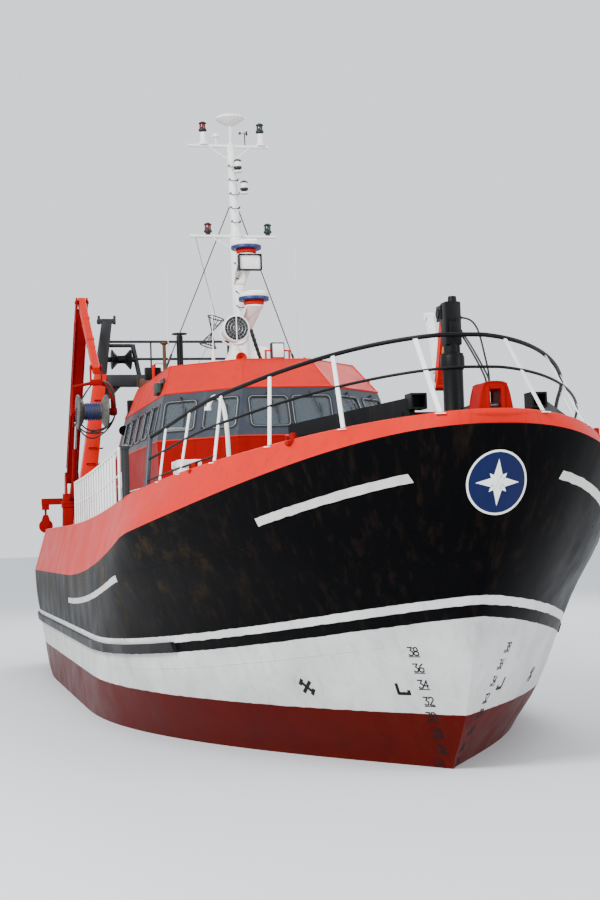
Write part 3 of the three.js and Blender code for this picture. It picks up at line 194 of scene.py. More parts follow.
def finish(bm, name, finish_of, body="root", stands_for=(), crease=32.0):
    """Makes a mesh a finished piece that rides on a body, wears its finish and hides the frame nodes it stands for.
    """
    bmesh.ops.remove_doubles(bm, verts=bm.verts[:], dist=2e-5)
    bmesh.ops.recalc_face_normals(bm, faces=bm.faces[:])
    for face in bm.faces:
        face.smooth = True
    limit = math.radians(crease)
    for edge in bm.edges:
        if len(edge.link_faces) == 2 and edge.calc_face_angle() > limit:
            edge.smooth = False
    mesh = bpy.data.meshes.new(name)
    bm.to_mesh(mesh)
    bm.free()
    piece = bpy.data.objects.new(name, mesh)
    bpy.context.scene.collection.objects.link(piece)
    mesh.materials.append(material(finish_of))
    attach(piece, body)
    if stands_for:
        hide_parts(*stands_for)


# Finishes


def plug(tree, node, sockets):
    """Fills a node's inputs with values, or links them to other nodes' outputs."""
    for key, value in sockets.items():
        if isinstance(value, bpy.types.NodeSocket):
            tree.links.new(value, node.inputs[key])
        else:
            node.inputs[key].default_value = value


def add_node(tree, kind, sockets=None, output=0, **settings):
    """Adds a shader node with its settings and links, and returns the output that the next node reads."""
    made = tree.nodes.new("ShaderNode" + kind)
    for key, value in settings.items():
        setattr(made, key, value)
    plug(tree, made, sockets or {})
    return made.outputs[output]


def start_material(name):
    """A material with its shader and the Object coordinates, in metres."""
    made = bpy.data.materials.new(name)
    made.use_nodes = True
    tree = made.node_tree
    return made, tree, tree.nodes["Principled BSDF"], add_node(tree, "TexCoord", output="Object")


def weather(tree, shader, place, colour, dirt, streaks, roughness, chalk=0.10):
    """Brush-painted steel: cloudy chalking, runs of dirt down the plates, and the paint's own ripple."""
    clouds = add_node(tree, "TexNoise", {"Vector": place, "Scale": 1.3, "Detail": 6.0, "Roughness": 0.6})
    upright = add_node(tree, "Mapping", {"Vector": place, "Scale": (5.0, 5.0, 0.35)})
    runs = add_node(tree, "TexNoise", {"Vector": upright, "Scale": 1.6, "Detail": 5.0, "Roughness": 0.65})
    run_share = add_node(tree, "MapRange", {"Value": runs, "From Min": 0.52, "From Max": 0.78, "To Max": streaks})
    cloud_share = add_node(tree, "MapRange", {
        "Value": clouds, "From Min": 0.3, "From Max": 0.75, "To Min": -chalk, "To Max": chalk})
    shade = add_node(tree, "Math", {0: cloud_share, 1: 1.0}, operation="ADD")
    chalky = add_node(tree, "HueSaturation", {"Value": shade, "Color": colour})
    ripple = add_node(tree, "TexNoise", {"Vector": place, "Scale": 140.0, "Detail": 2.0})
    dents = add_node(tree, "TexNoise", {"Vector": place, "Scale": 2.2, "Detail": 1.0})
    shallow = add_node(tree, "Bump", {"Height": dents, "Strength": 0.5, "Distance": 0.012})
    plug(tree, shader, {
        "Base Color": add_node(
            tree, "Mix", {"Factor": run_share, "A": chalky, "B": linear(dirt)}, "Result", data_type="RGBA"),
        "Roughness": add_node(tree, "MapRange", {
            "Value": clouds, "From Min": 0.3, "From Max": 0.7,
            "To Min": roughness - 0.07, "To Max": roughness + 0.1}),
        "Normal": add_node(tree, "Bump", {
            "Height": ripple, "Strength": 0.35, "Distance": 0.0006, "Normal": shallow})})


def enamel(name, colour, dirt, streaks, roughness, gloss):
    """Brushed marine enamel: a soft gloss over slightly uneven steel plate."""
    colour = list(getattr(bpy.context.scene.trawler_paint, name, linear(colour)))
    made, tree, shader, place = start_material(name)
    weather(tree, shader, place, colour, dirt, streaks, roughness)
    plug(tree, shader, {"Specular IOR Level": gloss})
    return made


def grained(name, colour, grain, shades, roughness, bump):
    """One colour that its own grain makes darker and lighter, rougher and smoother, and uneven."""
    made, tree, shader, place = start_material(name)
    noise = add_node(tree, "TexNoise", {"Vector": place, **grain})
    shade = add_node(tree, "MapRange", {"Value": noise, "To Min": shades[0], "To Max": shades[1]})
    plug(tree, shader, {
        "Base Color": add_node(tree, "HueSaturation", {"Value": shade, "Color": linear(colour)}),
        "Roughness": add_node(tree, "MapRange", {
            "Value": noise, "To Min": roughness[0], "To Max": roughness[1]}),
        "Normal": add_node(tree, "Bump", {"Height": noise, **bump})})
    return made


def metal(name, colour, metallic, roughness):
    """Bare metal: its own colour mottled by handling and salt."""
    made = grained(
        name, colour, {"Scale": 18.0, "Detail": 6.0, "Roughness": 0.7}, (0.72, 1.2),
        (roughness * 0.75, roughness * 1.25), {"Strength": 0.3, "Distance": 0.001})
    plug(made.node_tree, made.node_tree.nodes["Principled BSDF"], {"Metallic": metallic})
    return made


def moulded(name, colour, roughness):
    """Moulded or painted small goods in one strong colour, with fine grain."""
    return grained(
        name, colour, {"Scale": 60.0, "Detail": 4.0}, (0.88, 1.1),
        (roughness - 0.05, roughness + 0.08), {"Strength": 0.25, "Distance": 0.0008})


def topsides(name):
    """Ship's paint in bands: dark antifouling, pale boot-top, black belt, white stripe, black topsides."""
    look = bpy.context.scene.trawler_hull
    made, tree, shader, place = start_material(name)
    x = add_node(tree, "SeparateXYZ", {"Vector": place})
    height = x.node.outputs["Z"]
    wobble = add_node(tree, "TexNoise", {"Vector": place, "Scale": 6.0, "Detail": 2.0})
    drift = add_node(tree, "MapRange", {"Value": wobble, "To Min": -0.012, "To Max": 0.012})
    level = add_node(tree, "Math", {0: height, 1: drift}, operation="ADD")

    def rise(start, gain, base):
        """A line that lies level aft and curves up forward of its start."""
        ahead = add_node(tree, "Math", {0: x, 1: start}, operation="SUBTRACT")
        ahead = add_node(tree, "Math", {0: ahead, 1: 0.0}, operation="MAXIMUM")
        square = add_node(tree, "Math", {0: ahead, 1: ahead}, operation="MULTIPLY")
        return add_node(tree, "Math", {0: square, 1: gain, 2: base}, operation="MULTIPLY_ADD")

    stripe = rise(STRIPE_START, STRIPE_GAIN, look.stripe_height)
    over = add_node(tree, "Math", {0: level, 1: stripe}, operation="SUBTRACT")
    under = add_node(tree, "Math", {0: rise(SHEER_START, SHEER_GAIN, MAIN_DECK), 1: level}, operation="SUBTRACT")
    # coats over the antifouling, each by its share and its colour: first the bands, an edge a few millimetres soft
    coats = []
    for value, limit, code in (
            (level, look.boot_top, "C4C4C2"), (over, -look.stripe_width - look.belt_width, "08080A"),
            (over, -look.stripe_width, "D0D0CE"), (over, 0.0, "050506")):
        coats.append((add_node(tree, "MapRange", {
            "Value": value, "From Min": limit - SOFT_EDGE, "From Max": limit + SOFT_EDGE}), code))
    # the two white bars under the bulwark
    within = add_node(tree, "Math", {0: under, 1: 0.49, 2: 0.05}, operation="COMPARE")
    for first, last in ((10.4, 12.3), (-1.0, 6.3)):
        near = add_node(
            tree, "Math", {0: x, 1: (first + last) / 2, 2: (last - first) / 2}, operation="COMPARE")
        coats.append((add_node(tree, "Math", {0: within, 1: near}, operation="MULTIPLY"), "C6C5C0"))
    # the rust-brown bloom on the black plates aft of the bow
    stain = add_node(tree, "TexNoise", {"Vector": place, "Scale": 2.6, "Detail": 9.0, "Roughness": 0.72})
    aft = add_node(tree, "MapRange", {"Value": x, "From Min": 10.0, "From Max": 4.0})
    high = add_node(tree, "MapRange", {"Value": height, "From Min": 1.5, "From Max": 2.5})
    patch = add_node(tree, "MapRange", {"Value": stain, "From Min": 0.51, "From Max": 0.74, "To Max": 0.65})
    share = add_node(tree, "Math", {0: aft, 1: high}, operation="MULTIPLY")
    coats.append((add_node(tree, "Math", {0: share, 1: patch}, operation="MULTIPLY"), "6B5528"))
    colour = linear("4A0E0A")
    for share, code in coats:
        colour = add_node(tree, "Mix", {"Factor": share, "A": colour, "B": linear(code)}, "Result", data_type="RGBA")
    weather(tree, shader, place, colour, "3B2A1E", 0.22, 0.36, chalk=0.18)
    plug(tree, shader, {"Specular IOR Level": 0.02})
    return made


def glass(name):
    """Tinted toughened glass: dark, smooth, a little see-through, with a film of salt."""
    made, tree, shader, place = start_material(name)
    salt = add_node(tree, "TexNoise", {"Vector": place, "Scale": 9.0, "Detail": 5.0})
    plug(tree, shader, {
        "Roughness": add_node(tree, "MapRange", {"Value": salt, "To Min": 0.05, "To Max": 0.16}),
        "Base Color": linear("141A1F"), "Alpha": 0.75})
    return made


def twine(name, colour, gap_shade, period, crossed):
    """Laid rope or braided net: slanting strands with painted shade in the gaps between them, fluffy and matt."""
    made, tree, shader, place = start_material(name)
    layers = []
    for scale in ((1, 1, 1), (-1, 1, -1))[:2 if crossed else 1]:
        slanted = add_node(tree, "Mapping", {"Vector": place, "Scale": scale})
        layers.append(add_node(tree, "TexWave", {
            "Vector": slanted, "Scale": WAVE_PER_METRE / period, "Distortion": 1.5, "Detail": 1.0},
            "Fac", bands_direction="DIAGONAL"))
    top = add_node(tree, "Math", {0: layers[0], 1: layers[-1]}, operation="MAXIMUM")
    grain = add_node(tree, "TexNoise", {"Vector": place, "Scale": 7.0, "Detail": 5.0})
    worn = add_node(tree, "MapRange", {"Value": grain, "To Min": 0.6, "To Max": 1.3})
    tint = add_node(tree, "HueSaturation", {"Value": worn, "Color": linear(colour)})
    # the gap colour is painted shade, laid in the grooves where the strands' height is lowest
    share = add_node(tree, "MapRange", {"Value": top, "From Min": 0.45, "From Max": 0.8})
    plug(tree, shader, {
        "Base Color": add_node(
            tree, "Mix", {"Factor": share, "A": linear(gap_shade), "B": tint}, "Result", data_type="RGBA"),
        "Normal": add_node(tree, "Bump", {"Height": top, "Strength": 0.7, "Distance": period * 0.3}),
        "Roughness": 0.9, "Specular IOR Level": 0.2})
    return made


# half the width of the edge between two painted bands
SOFT_EDGE = 0.003
# scale at which a wave texture repeats once in a metre
WAVE_PER_METRE = 0.628
# each finish: how it is painted, the name of its slot, and the painter's values
FINISHES = {
    # colour, dirt, streaks, roughness, gloss
    "salmon_enamel": (enamel, "red_paint", "BC180C", "6E261C", 0.35, 0.42, 0.07),  # red gone orange-pink in the sun
    "deep_red_enamel": (enamel, "red_paint", "840402", "40140F", 0.30, 0.46, 0.04),  # fresher red in the shade
    "white_enamel": (enamel, "white_paint", "E4E5E3", "8C7B66", 0.25, 0.42, 0.5),  # clean gloss with rusty runs
    "slate_enamel": (enamel, "band_paint", "2C313A", "6E6A62", 0.22, 0.42, 0.25),  # blue-grey, dusted with salt
    "charcoal_enamel": (enamel, "grey_paint", "171A1E", "4B453D", 0.25, 0.48, 0.3),  # dull dark grey of deck gear
    "black_enamel": (enamel, "black_paint", "08090A", "3A332B", 0.20, 0.45, 0.14),  # black with a low sheen
    "green_deck_paint": (enamel, "hull_paint", "4E5C52", "3A352C", 0.35, 0.80, 0.2),  # sanded and matt, trodden grey
    "gelcoat": (enamel, "white_plastic", "E9E6DC", "9A8C78", 0.15, 0.30, 0.5),  # glassfibre, smooth and creamy
    "disc_blue_enamel": (enamel, "hull_paint", "04123F", "3A332B", 0.05, 0.40, 0.15),  # deep even blue
    "antifouling": (enamel, "bottom_paint", "541410", "3A2A22", 0.35, 0.70, 0.2),  # chalky oxide red
    # colour, metallic, roughness
    "cast_bronze": (metal, "bronze", "A5813F", 1.0, 0.38),  # brown-gold with blurred highlights
    "galvanised_steel": (metal, "steel", "9A9DA0", 0.85, 0.46),  # dull zinc grey
    "chromed_rod": (metal, "chrome_rod", "D6D8DA", 1.0, 0.12),  # mirror-bright and wiped by its seal
    "rusty_steel": (metal, "steel", "5A3A26", 0.35, 0.78),  # brown and crusty, hardly metallic
    "worn_steel": (metal, "grey_paint", "5F5E5A", 0.55, 0.55),  # grey polished by rope
    # colour, roughness
    "black_rubber": (moulded, "black_paint", "17181A", 0.62),  # soft and dusty
    "red_lens": (moulded, "white_plastic", "5C0A0E", 0.15),  # unlit, dark and wet-looking
    "green_lens": (moulded, "white_plastic", "06301F", 0.15),  # unlit, nearly black
    "clear_lens": (moulded, "white_plastic", "E6E8E4", 0.10),  # pressed glass, milky from its ribs
    "blue_plastic": (moulded, "white_plastic", "07225C", 0.45),  # polythene, waxy
    "smoked_lens": (moulded, "white_plastic", "15181B", 0.15),  # dark cover over a lamp that is off
    "vinyl_floor": (moulded, "interior", "6A5340", 0.60),  # brown and scuffed
    "amber_paint": (moulded, "steel", "C87A1E", 0.42),  # ochre, glossy, rubbed on small rams
    "leathercloth": (moulded, "interior", "2B2623", 0.50),  # padded, slightly shiny
    "screen_glass": (moulded, "window_glass", "0A1A24", 0.12),  # screens switched off
    # colour, painted shade in the gaps between strands, strand period, whether two layers cross
    "laid_rope": (twine, "white_paint", "B9A77C", "4A4130", 0.014, False),  # hemp-coloured strands
    "steel_wire_rope": (twine, "steel", "8A8C8C", "3B3A38", 0.012, False),  # greased grey lay
    "braided_net": (twine, "grey_paint", "2C6E56", "0E1A16", 0.06, True),  # green mesh, coarser than real to show
    "topsides_paint": (topsides, "hull_paint"),  # brushed ship's paint in bands, its black bloomed with rust
    "window_glass": (glass, "window_glass"),  # dark smooth tint with a film of salt
}


def material(name):
    """The named finish, made once."""
    if name in bpy.data.materials:
        return bpy.data.materials[name]
    paint, _, *values = FINISHES[name]
    return paint(name, *values)


# Hull form, as the frame's: each level is a line round the hull
MAIN_DECK = 2.405
SHEER_START, SHEER_GAIN = -1.5, 0.009
STRIPE_START, STRIPE_GAIN = 3.0, 0.0095
BULWARK_FOOT, BULWARK_START, BULWARK_GAIN = 3.377, -3.05, 0.004
BULWARK_PLATE = 0.09
STATIONS = 90
DECK_COLUMNS = 10
HALF_LENGTH = 12.8
STAY_PLATE, STAY_SPACING = 0.012, 0.8
THRUSTER = Vector((7.7, 0, -1.25))
THRUSTER_BORE = 0.3
BULB = Vector((9.5, 0, -1.48))
BULB_HALVES = (1.5, 0.56, 0.62)
SHAFT_LINE = -2.09
RUDDER_STOCK = -11.7


def sheer(x):
    """Height of the deck at side."""
    return MAIN_DECK + SHEER_GAIN * max(x - SHEER_START, 0) ** 2


def bulwark_height(x):
    """Height of the bulwark's top edge."""
    return BULWARK_FOOT + BULWARK_GAIN * max(x - BULWARK_START, 0) ** 2


def ramp(low, high):
    """A height that changes evenly along the hull."""
    return lambda x: low + (high - low) * (x + HALF_LENGTH) / (2 * HALF_LENGTH)


STRIPE_LEVEL = ramp(1.42, 2.15)
# height, half-breadth, stem x, fore shoulder x, its two powers, stern x, aft shoulder x, its two powers
LEVELS = {
    "garboard": (ramp(-2.25, -2.05), 1.15, 9.5, 0.5, 1.6, 1.0, -9.5, -1.5, 1.5, 1.0),
    "bilge": (ramp(-1.65, -1.5), 2.75, 10.05, 0.5, 1.8, 1.05, -9.7, -2.5, 1.7, 0.95),
    "tuck": (ramp(-0.72, -0.7), 3.38, 10.4, 0.8, 2.1, 1.08, -11.9, -4.0, 2.2, 0.8),
    "waterline": (ramp(0, 0), 3.55, 10.7, 1.0, 2.28, 1.1, -12.4, -5.0, 3.0, 0.55),
    "boot_top": (ramp(0.72, 0.74), 3.61, 11.26, 2.5, 2.1, 0.95, -12.62, -6.0, 3.4, 0.48),
    "stripe": (STRIPE_LEVEL, 3.665, 11.93, 4.5, 1.65, 0.7, -12.76, -7.0, 3.8, 0.44),
    "flare": (lambda x: (STRIPE_LEVEL(x) + sheer(x)) / 2, 3.685, 12.44, 6.0, 1.3, 0.54, -12.81, -7.5, 4.0, 0.42),
    "knuckle": (sheer, 3.685, 12.744, 7.298, 1.066, 0.44, -12.82, -8.0, 4.0, 0.42),
    "rail_top": (bulwark_height, 3.425, 12.786, 5.268, 1.844, 0.545, -12.56, -7.6, 4.0, 0.42),
}


def half_breadth(name, x):
    """Half-breadth of a level at a station."""
    _, half, stem, fore, p, e, stern, aft, p_aft, e_aft = LEVELS[name]
    if x > fore:
        return half * (1 - min((x - fore) / (stem - fore), 1) ** p) ** e
    if x < aft:
        return half * (1 - min((aft - x) / (aft - stern), 1) ** p_aft) ** e_aft
    return half


def level_ring(name, lift=0.0, inset=0.0):
    """Points of a level from the stem down the starboard side, round the stern and back to port."""
    height, _, stem, *_, stern, _, _, _ = LEVELS[name]
    side = []
    for i in range(STATIONS + 1):
        x = stem + (stern - stem) * (1 - math.cos(math.pi * i / STATIONS)) / 2
        side.append(Vector((x, -half_breadth(name, x) if 0 < i < STATIONS else 0.0)))
    around = side + [Vector((p.x, -p.y)) for p in reversed(side[1:-1])]
    ring = []
    for i, point in enumerate(around):
        along = (around[(i + 1) % len(around)] - around[i - 1]).normalized()
        place = point - inset * Vector((-along.y, along.x))
        ring.append(Vector((place.x, place.y, height(place.x) + lift)))
    return ring


def between(rings, steps):
    """Rings faired through the given ones, with some steps from each to the next."""
    made = []
    for k in range(len(rings) - 1):
        before, start = rings[max(k - 1, 0)], rings[k]
        end, after = rings[k + 1], rings[min(k + 2, len(rings) - 1)]
        for s in range(steps):
            t = s / steps
            made.append([
                0.5 * (2 * b + (c - a) * t + (2 * a - 5 * b + 4 * c - d) * t ** 2 + (3 * b - a - 3 * c + d) * t ** 3)
                for a, b, c, d in zip(before, start, end, after)])
    return made + [rings[-1]]


def deck_grid(bm, name, lift, inset):
    """A grid of faces over a level, edge to edge."""
    ring = level_ring(name, lift, inset)
    for vert in bmesh.ops.create_grid(bm, x_segments=STATIONS, y_segments=DECK_COLUMNS, size=1.0)["verts"]:
        i = round((vert.co.x + 1) / 2 * STATIONS)
        vert.co = ring[i].lerp(ring[-i], (vert.co.y + 1) / 2)


class TrawlerHullSettings(bpy.types.PropertyGroup):
    """Sizes of the hull's paint lines."""

    boot_top: FloatProperty(
        name="Boot top", description="Height of the antifouling's upper edge", default=0.73, unit="LENGTH")
    stripe_height: FloatProperty(
        name="Stripe height", description="Height of the white stripe's upper edge amidships",
        default=1.46, unit="LENGTH")
    stripe_width: FloatProperty(
        name="Stripe width", description="Width of the white stripe", default=0.10, unit="LENGTH")
    belt_width: FloatProperty(
        name="Belt width", description="Width of the black belt under the stripe", default=0.14, unit="LENGTH")


def paint_setting(title, use, name):
    """A paint's colour that a user may change."""
    return FloatVectorProperty(
        name=title, description=use, subtype="COLOR", size=4, min=0.0, max=1.0, default=linear(FINISHES[name][2]))


class TrawlerPaintSettings(bpy.types.PropertyGroup):
    """Colours of the brushed paints."""

    salmon_enamel: paint_setting("Bulwark red", "Paint of the bulwark, the roof and the gantry", "salmon_enamel")
    deep_red_enamel: paint_setting("House red", "Paint of the house walls and the deck gear", "deep_red_enamel")
    slate_enamel: paint_setting("Band blue-grey", "Paint of the band round the windows", "slate_enamel")
    white_enamel: paint_setting("White", "Paint of the mast and the stanchions", "white_enamel")
    green_deck_paint: paint_setting("Deck green", "Paint of the decks", "green_deck_paint")


class TRAWLER_OT_hull(bpy.types.Operator):
    """Models the hull's plating with its keel, bulb and thruster tunnel"""

    bl_idname = "trawler.hull"
    bl_label = "Hull"

    def execute(self, context):
        bm = bmesh.new()
        names = ["garboard", "bilge", "tuck", "waterline", "boot_top", "stripe", "flare", "knuckle"]
        rings = between([level_ring(name) for name in names], 4)
        loft(bm, rings, cap=False)
        deck_grid(bm, "knuckle", 0.0, 0.0)
        deck_grid(bm, "garboard", 0.0, 0.0)
        bmesh.ops.remove_doubles(bm, verts=bm.verts[:], dist=2e-4)
        finish(bm, "hull_plating", "topsides_paint", stands_for=["hull"], crease=35)
        under = bmesh.new()
        keel = [(10.1, -1.5), (9.9, -2.2), (9.3, -2.42), (-9.2, -3.18), (-9.45, -1.9), (-9.0, -1.3), (8.8, -1.3)]
        slab(under, [(x, -0.15, z) for x, z in keel], (0, 0.3, 0), 0.02)
        skeg = [(-7.0, -1.4), (-7.0, -2.9), (-9.3, -2.9), (-9.6, -1.9), (-9.5, -1.0), (-8.0, -1.0)]
        slab(under, [(x, -0.26, z) for x, z in skeg], (0, 0.52, 0), 0.05)
        turned(under, [(0, 0), (0.23, 0), (0.15, 0.9), (0, 0.9)], (-9.5, 0, SHAFT_LINE), (-1, 0, 0))
        rod(under, (RUDDER_STOCK, 0, -0.96), (RUDDER_STOCK, 0, -0.6), 0.15, sides=24)
        bulb = Matrix.Translation(BULB) @ Matrix.Diagonal((*BULB_HALVES, 1.0))
        bmesh.ops.create_uvsphere(under, u_segments=48, v_segments=32, radius=1.0, matrix=bulb)
        finish(under, "keel_and_bulb", "topsides_paint", crease=40)
        tunnel = bmesh.new()
        for side in SIDES.values():
            y = side * half_breadth("bilge", THRUSTER.x)
            x, z = THRUSTER.x, THRUSTER.z
            turned(tunnel, hollow(THRUSTER_BORE, THRUSTER_BORE + 0.04, -0.06, 0.1), (x, y, z), (0, side, 0), 40)
            for drop in (-0.2, -0.1, 0.0, 0.1, 0.2):
                reach = math.sqrt(THRUSTER_BORE ** 2 - drop ** 2)
                block(tunnel, (x - reach, y - 0.02 + side * 0.06, z - 0.01 + drop),
                      (x + reach, y + 0.02 + side * 0.06, z + 0.01 + drop), 0.004)
        finish(tunnel, "thruster_grids", "topsides_paint")
        return {"FINISHED"}


class TRAWLER_OT_bulwark(bpy.types.Operator):
    """Models the bulwark plating with its rolled top edge and inner stays"""

    bl_idname = "trawler.bulwark"
    bl_label = "Bulwark"

    def execute(self, context):
        bm = bmesh.new()
        skins = between([level_ring("knuckle"), level_ring("rail_top")], 4)
        inner = [level_ring("rail_top", 0.0, BULWARK_PLATE), level_ring("knuckle", -0.05, BULWARK_PLATE)]
        loft(bm, skins + inner, cap=False, wall=True)
        finish(bm, "bulwark_plating", "salmon_enamel", stands_for=["bulwark"], crease=40)
        edge = bmesh.new()
        ring = level_ring("rail_top", 0.0, BULWARK_PLATE / 2)
        pipe(edge, ring, 0.052, sides=3, closed=True, smooth=False)
        bmesh.ops.translate(edge, verts=edge.verts[:], vec=(0, 0, -0.02))
        finish(edge, "bulwark_rolled_edge", "salmon_enamel", crease=50)
        stays = bmesh.new()
        for x in (STAY_SPACING * k - 11.6 for k in range(29)):
            for side in SIDES.values():
                foot = half_breadth("knuckle", x) - BULWARK_PLATE
                head = half_breadth("rail_top", x) - BULWARK_PLATE
                if foot < 1.2:
                    continue
                top, deck = bulwark_height(x) - 0.1, sheer(x) + 0.002
                corners = ((foot + 0.01, deck), (foot - 0.42, deck), (head - 0.1, top), (head + 0.01, top))
                slab(stays, [(x - STAY_PLATE / 2, side * y, z) for y, z in corners], (STAY_PLATE, 0, 0))
        finish(stays, "bulwark_stays", "white_enamel")
        return {"FINISHED"}


def flat(bm, start, end, across, width, thick):
    """A flat bar between two points, its width lying across."""
    start, end = Vector(start), Vector(end)
    along = end - start
    axis = along.normalized()
    wide = Vector(across)
    wide = (wide - axis * wide.dot(axis)).normalized()
    turn = Matrix((wide * width, axis.cross(wide) * thick, along)).transposed().to_4x4()
    bmesh.ops.create_cube(bm, size=1.0, matrix=Matrix.Translation((start + end) / 2) @ turn)


def tapered(bm, foot, head, bevel):
    """A four-sided block between two rectangles: each is its low and high x and y, and its height."""
    verts = bmesh.ops.create_cube(bm, size=2.0)["verts"]
    for vert in verts:
        x0, x1, y0, y1, z = head if vert.co.z > 0 else foot
        vert.co = (x1 if vert.co.x > 0 else x0, y1 if vert.co.y > 0 else y0, z)
    edges = {e for v in verts for e in v.link_edges}
    bmesh.ops.bevel(bm, geom=list(edges), offset=bevel, affect="EDGES", segments=2, profile=0.5, material=-1)


def both(side, inner, outer):
    """A span of y on one side of the boat."""
    return (inner, outer) if side > 0 else (-outer, -inner)


# sides that stand for each rounded corner
CORNER_STEPS = 5


def rounded(width, height, corner):
    """The outline of a rectangle with rounded corners, about its middle."""
    points = []
    for k, (sx, sy) in enumerate(((1, 1), (-1, 1), (-1, -1), (1, -1))):
        for s in range(CORNER_STEPS + 1):
            angle = math.pi / 2 * (k + s / CORNER_STEPS)
            points.append((sx * (width / 2 - corner) + corner * math.cos(angle),
                           sy * (height / 2 - corner) + corner * math.sin(angle)))
    return points


def paint_nodes(**finishes):
    """Gives each kept frame node its finish."""
    for node, finish_of in finishes.items():
        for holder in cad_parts[node].material_slots:
            holder.material = material(finish_of)


# Deckhouse: bow face's x, its half-width, the sides' half-width and the aft end's x at each height
HOUSE_RINGS = [
    (2.0, 3.3, 1.12, 2.26, -4.4), (4.8, 2.9, 1.02, 2.26, -4.4), (5.7, 2.51, 0.82, 2.05, -4.15),
    (6.3, 1.66, 0.64, 1.8, -3.85),
]
SILL, LINTEL = 4.98, 5.52
BAND_FOOT, BAND_HEAD = 4.8, 5.7
HOUSE_SIDE, HOUSE_BACK = 2.26, -4.405
# the window seal's section: growth of the outline, corner radius and height over the wall
SEAL_SECTION = (
    (0.035, 0.10, 0.0), (0.035, 0.10, 0.012), (0.012, 0.085, 0.016), (-0.02, 0.07, 0.006), (-0.02, 0.07, -0.03))


def house_ring(z):
    """The deckhouse's eight corners at a height, from the starboard bow corner round the bow to port."""
    for low, high in zip(HOUSE_RINGS, HOUSE_RINGS[1:]):
        if z <= high[0] or high is HOUSE_RINGS[-1]:
            t = (z - low[0]) / (high[0] - low[0])
            face_x, face_y, side_y, aft = (a + (b - a) * t for a, b in zip(low[1:], high[1:]))
            break
    shoulder = face_x - (side_y - face_y)
    port = [(aft, side_y), (shoulder, side_y), (face_x, face_y)]
    return [Vector((x, y, z)) for x, y in port] + [Vector((x, -y, z)) for x, y in reversed(port)]


# facet between two of those corners, share of its length to the window's middle, window's width
WINDOWS = [(2, 0.7, (-0.395, 0.395))] + [(k, 0.69, (-0.45, 0.45)) for k in (1, 3)]
SIDE_WINDOWS = [(0.33, 1.08), (-0.62, 0.13), (-1.57, -0.82), (-2.52, -1.77), (-3.47, -2.72)]


def window_frames():
    """Middle, horizontal direction, direction up the glass, outward normal and width of each window."""
    places = []
    low, high = house_ring(SILL), house_ring(LINTEL)
    for k, width, offsets in WINDOWS:
        a, b, c, d = low[k], low[k + 1], high[k], high[k + 1]
        along = (b - a).normalized()
        for offset in offsets:
            foot, head = (a + b) / 2 + along * offset, (c + d) / 2 + along * offset
            places.append((foot, head, along, width))
    for x0, x1 in SIDE_WINDOWS:
        for side in SIDES.values():
            foot = Vector(((x0 + x1) / 2, side * low[0].y, SILL))
            head = Vector(((x0 + x1) / 2, side * high[0].y, LINTEL))
            places.append((foot, head, Vector((side, 0, 0)) * -1, x1 - x0))
    for y in (-0.95, 0.0, 0.95):
        foot, head = Vector((low[0].x, y, SILL)), Vector((high[0].x, y, LINTEL))
        places.append((foot, head, PORT, 0.7))
    frames = []
    for foot, head, along, width in places:
        up = (head - foot).normalized()
        normal = along.cross(up).normalized()
        middle = (foot + head) / 2
        if normal.dot(middle - UP * middle.z) < 0:
            normal, along = -normal, -along
        frames.append((middle, along, up, normal, width, (head - foot).length))
    return frames


def window_ring(frame_of, grow, corner, out):
    """A rounded outline on a window's plane."""
    middle, along, up, normal, width, height = frame_of
    return [middle + along * u + up * v + normal * out
            for u, v in rounded(width + 2 * grow, height + 2 * grow, corner)]


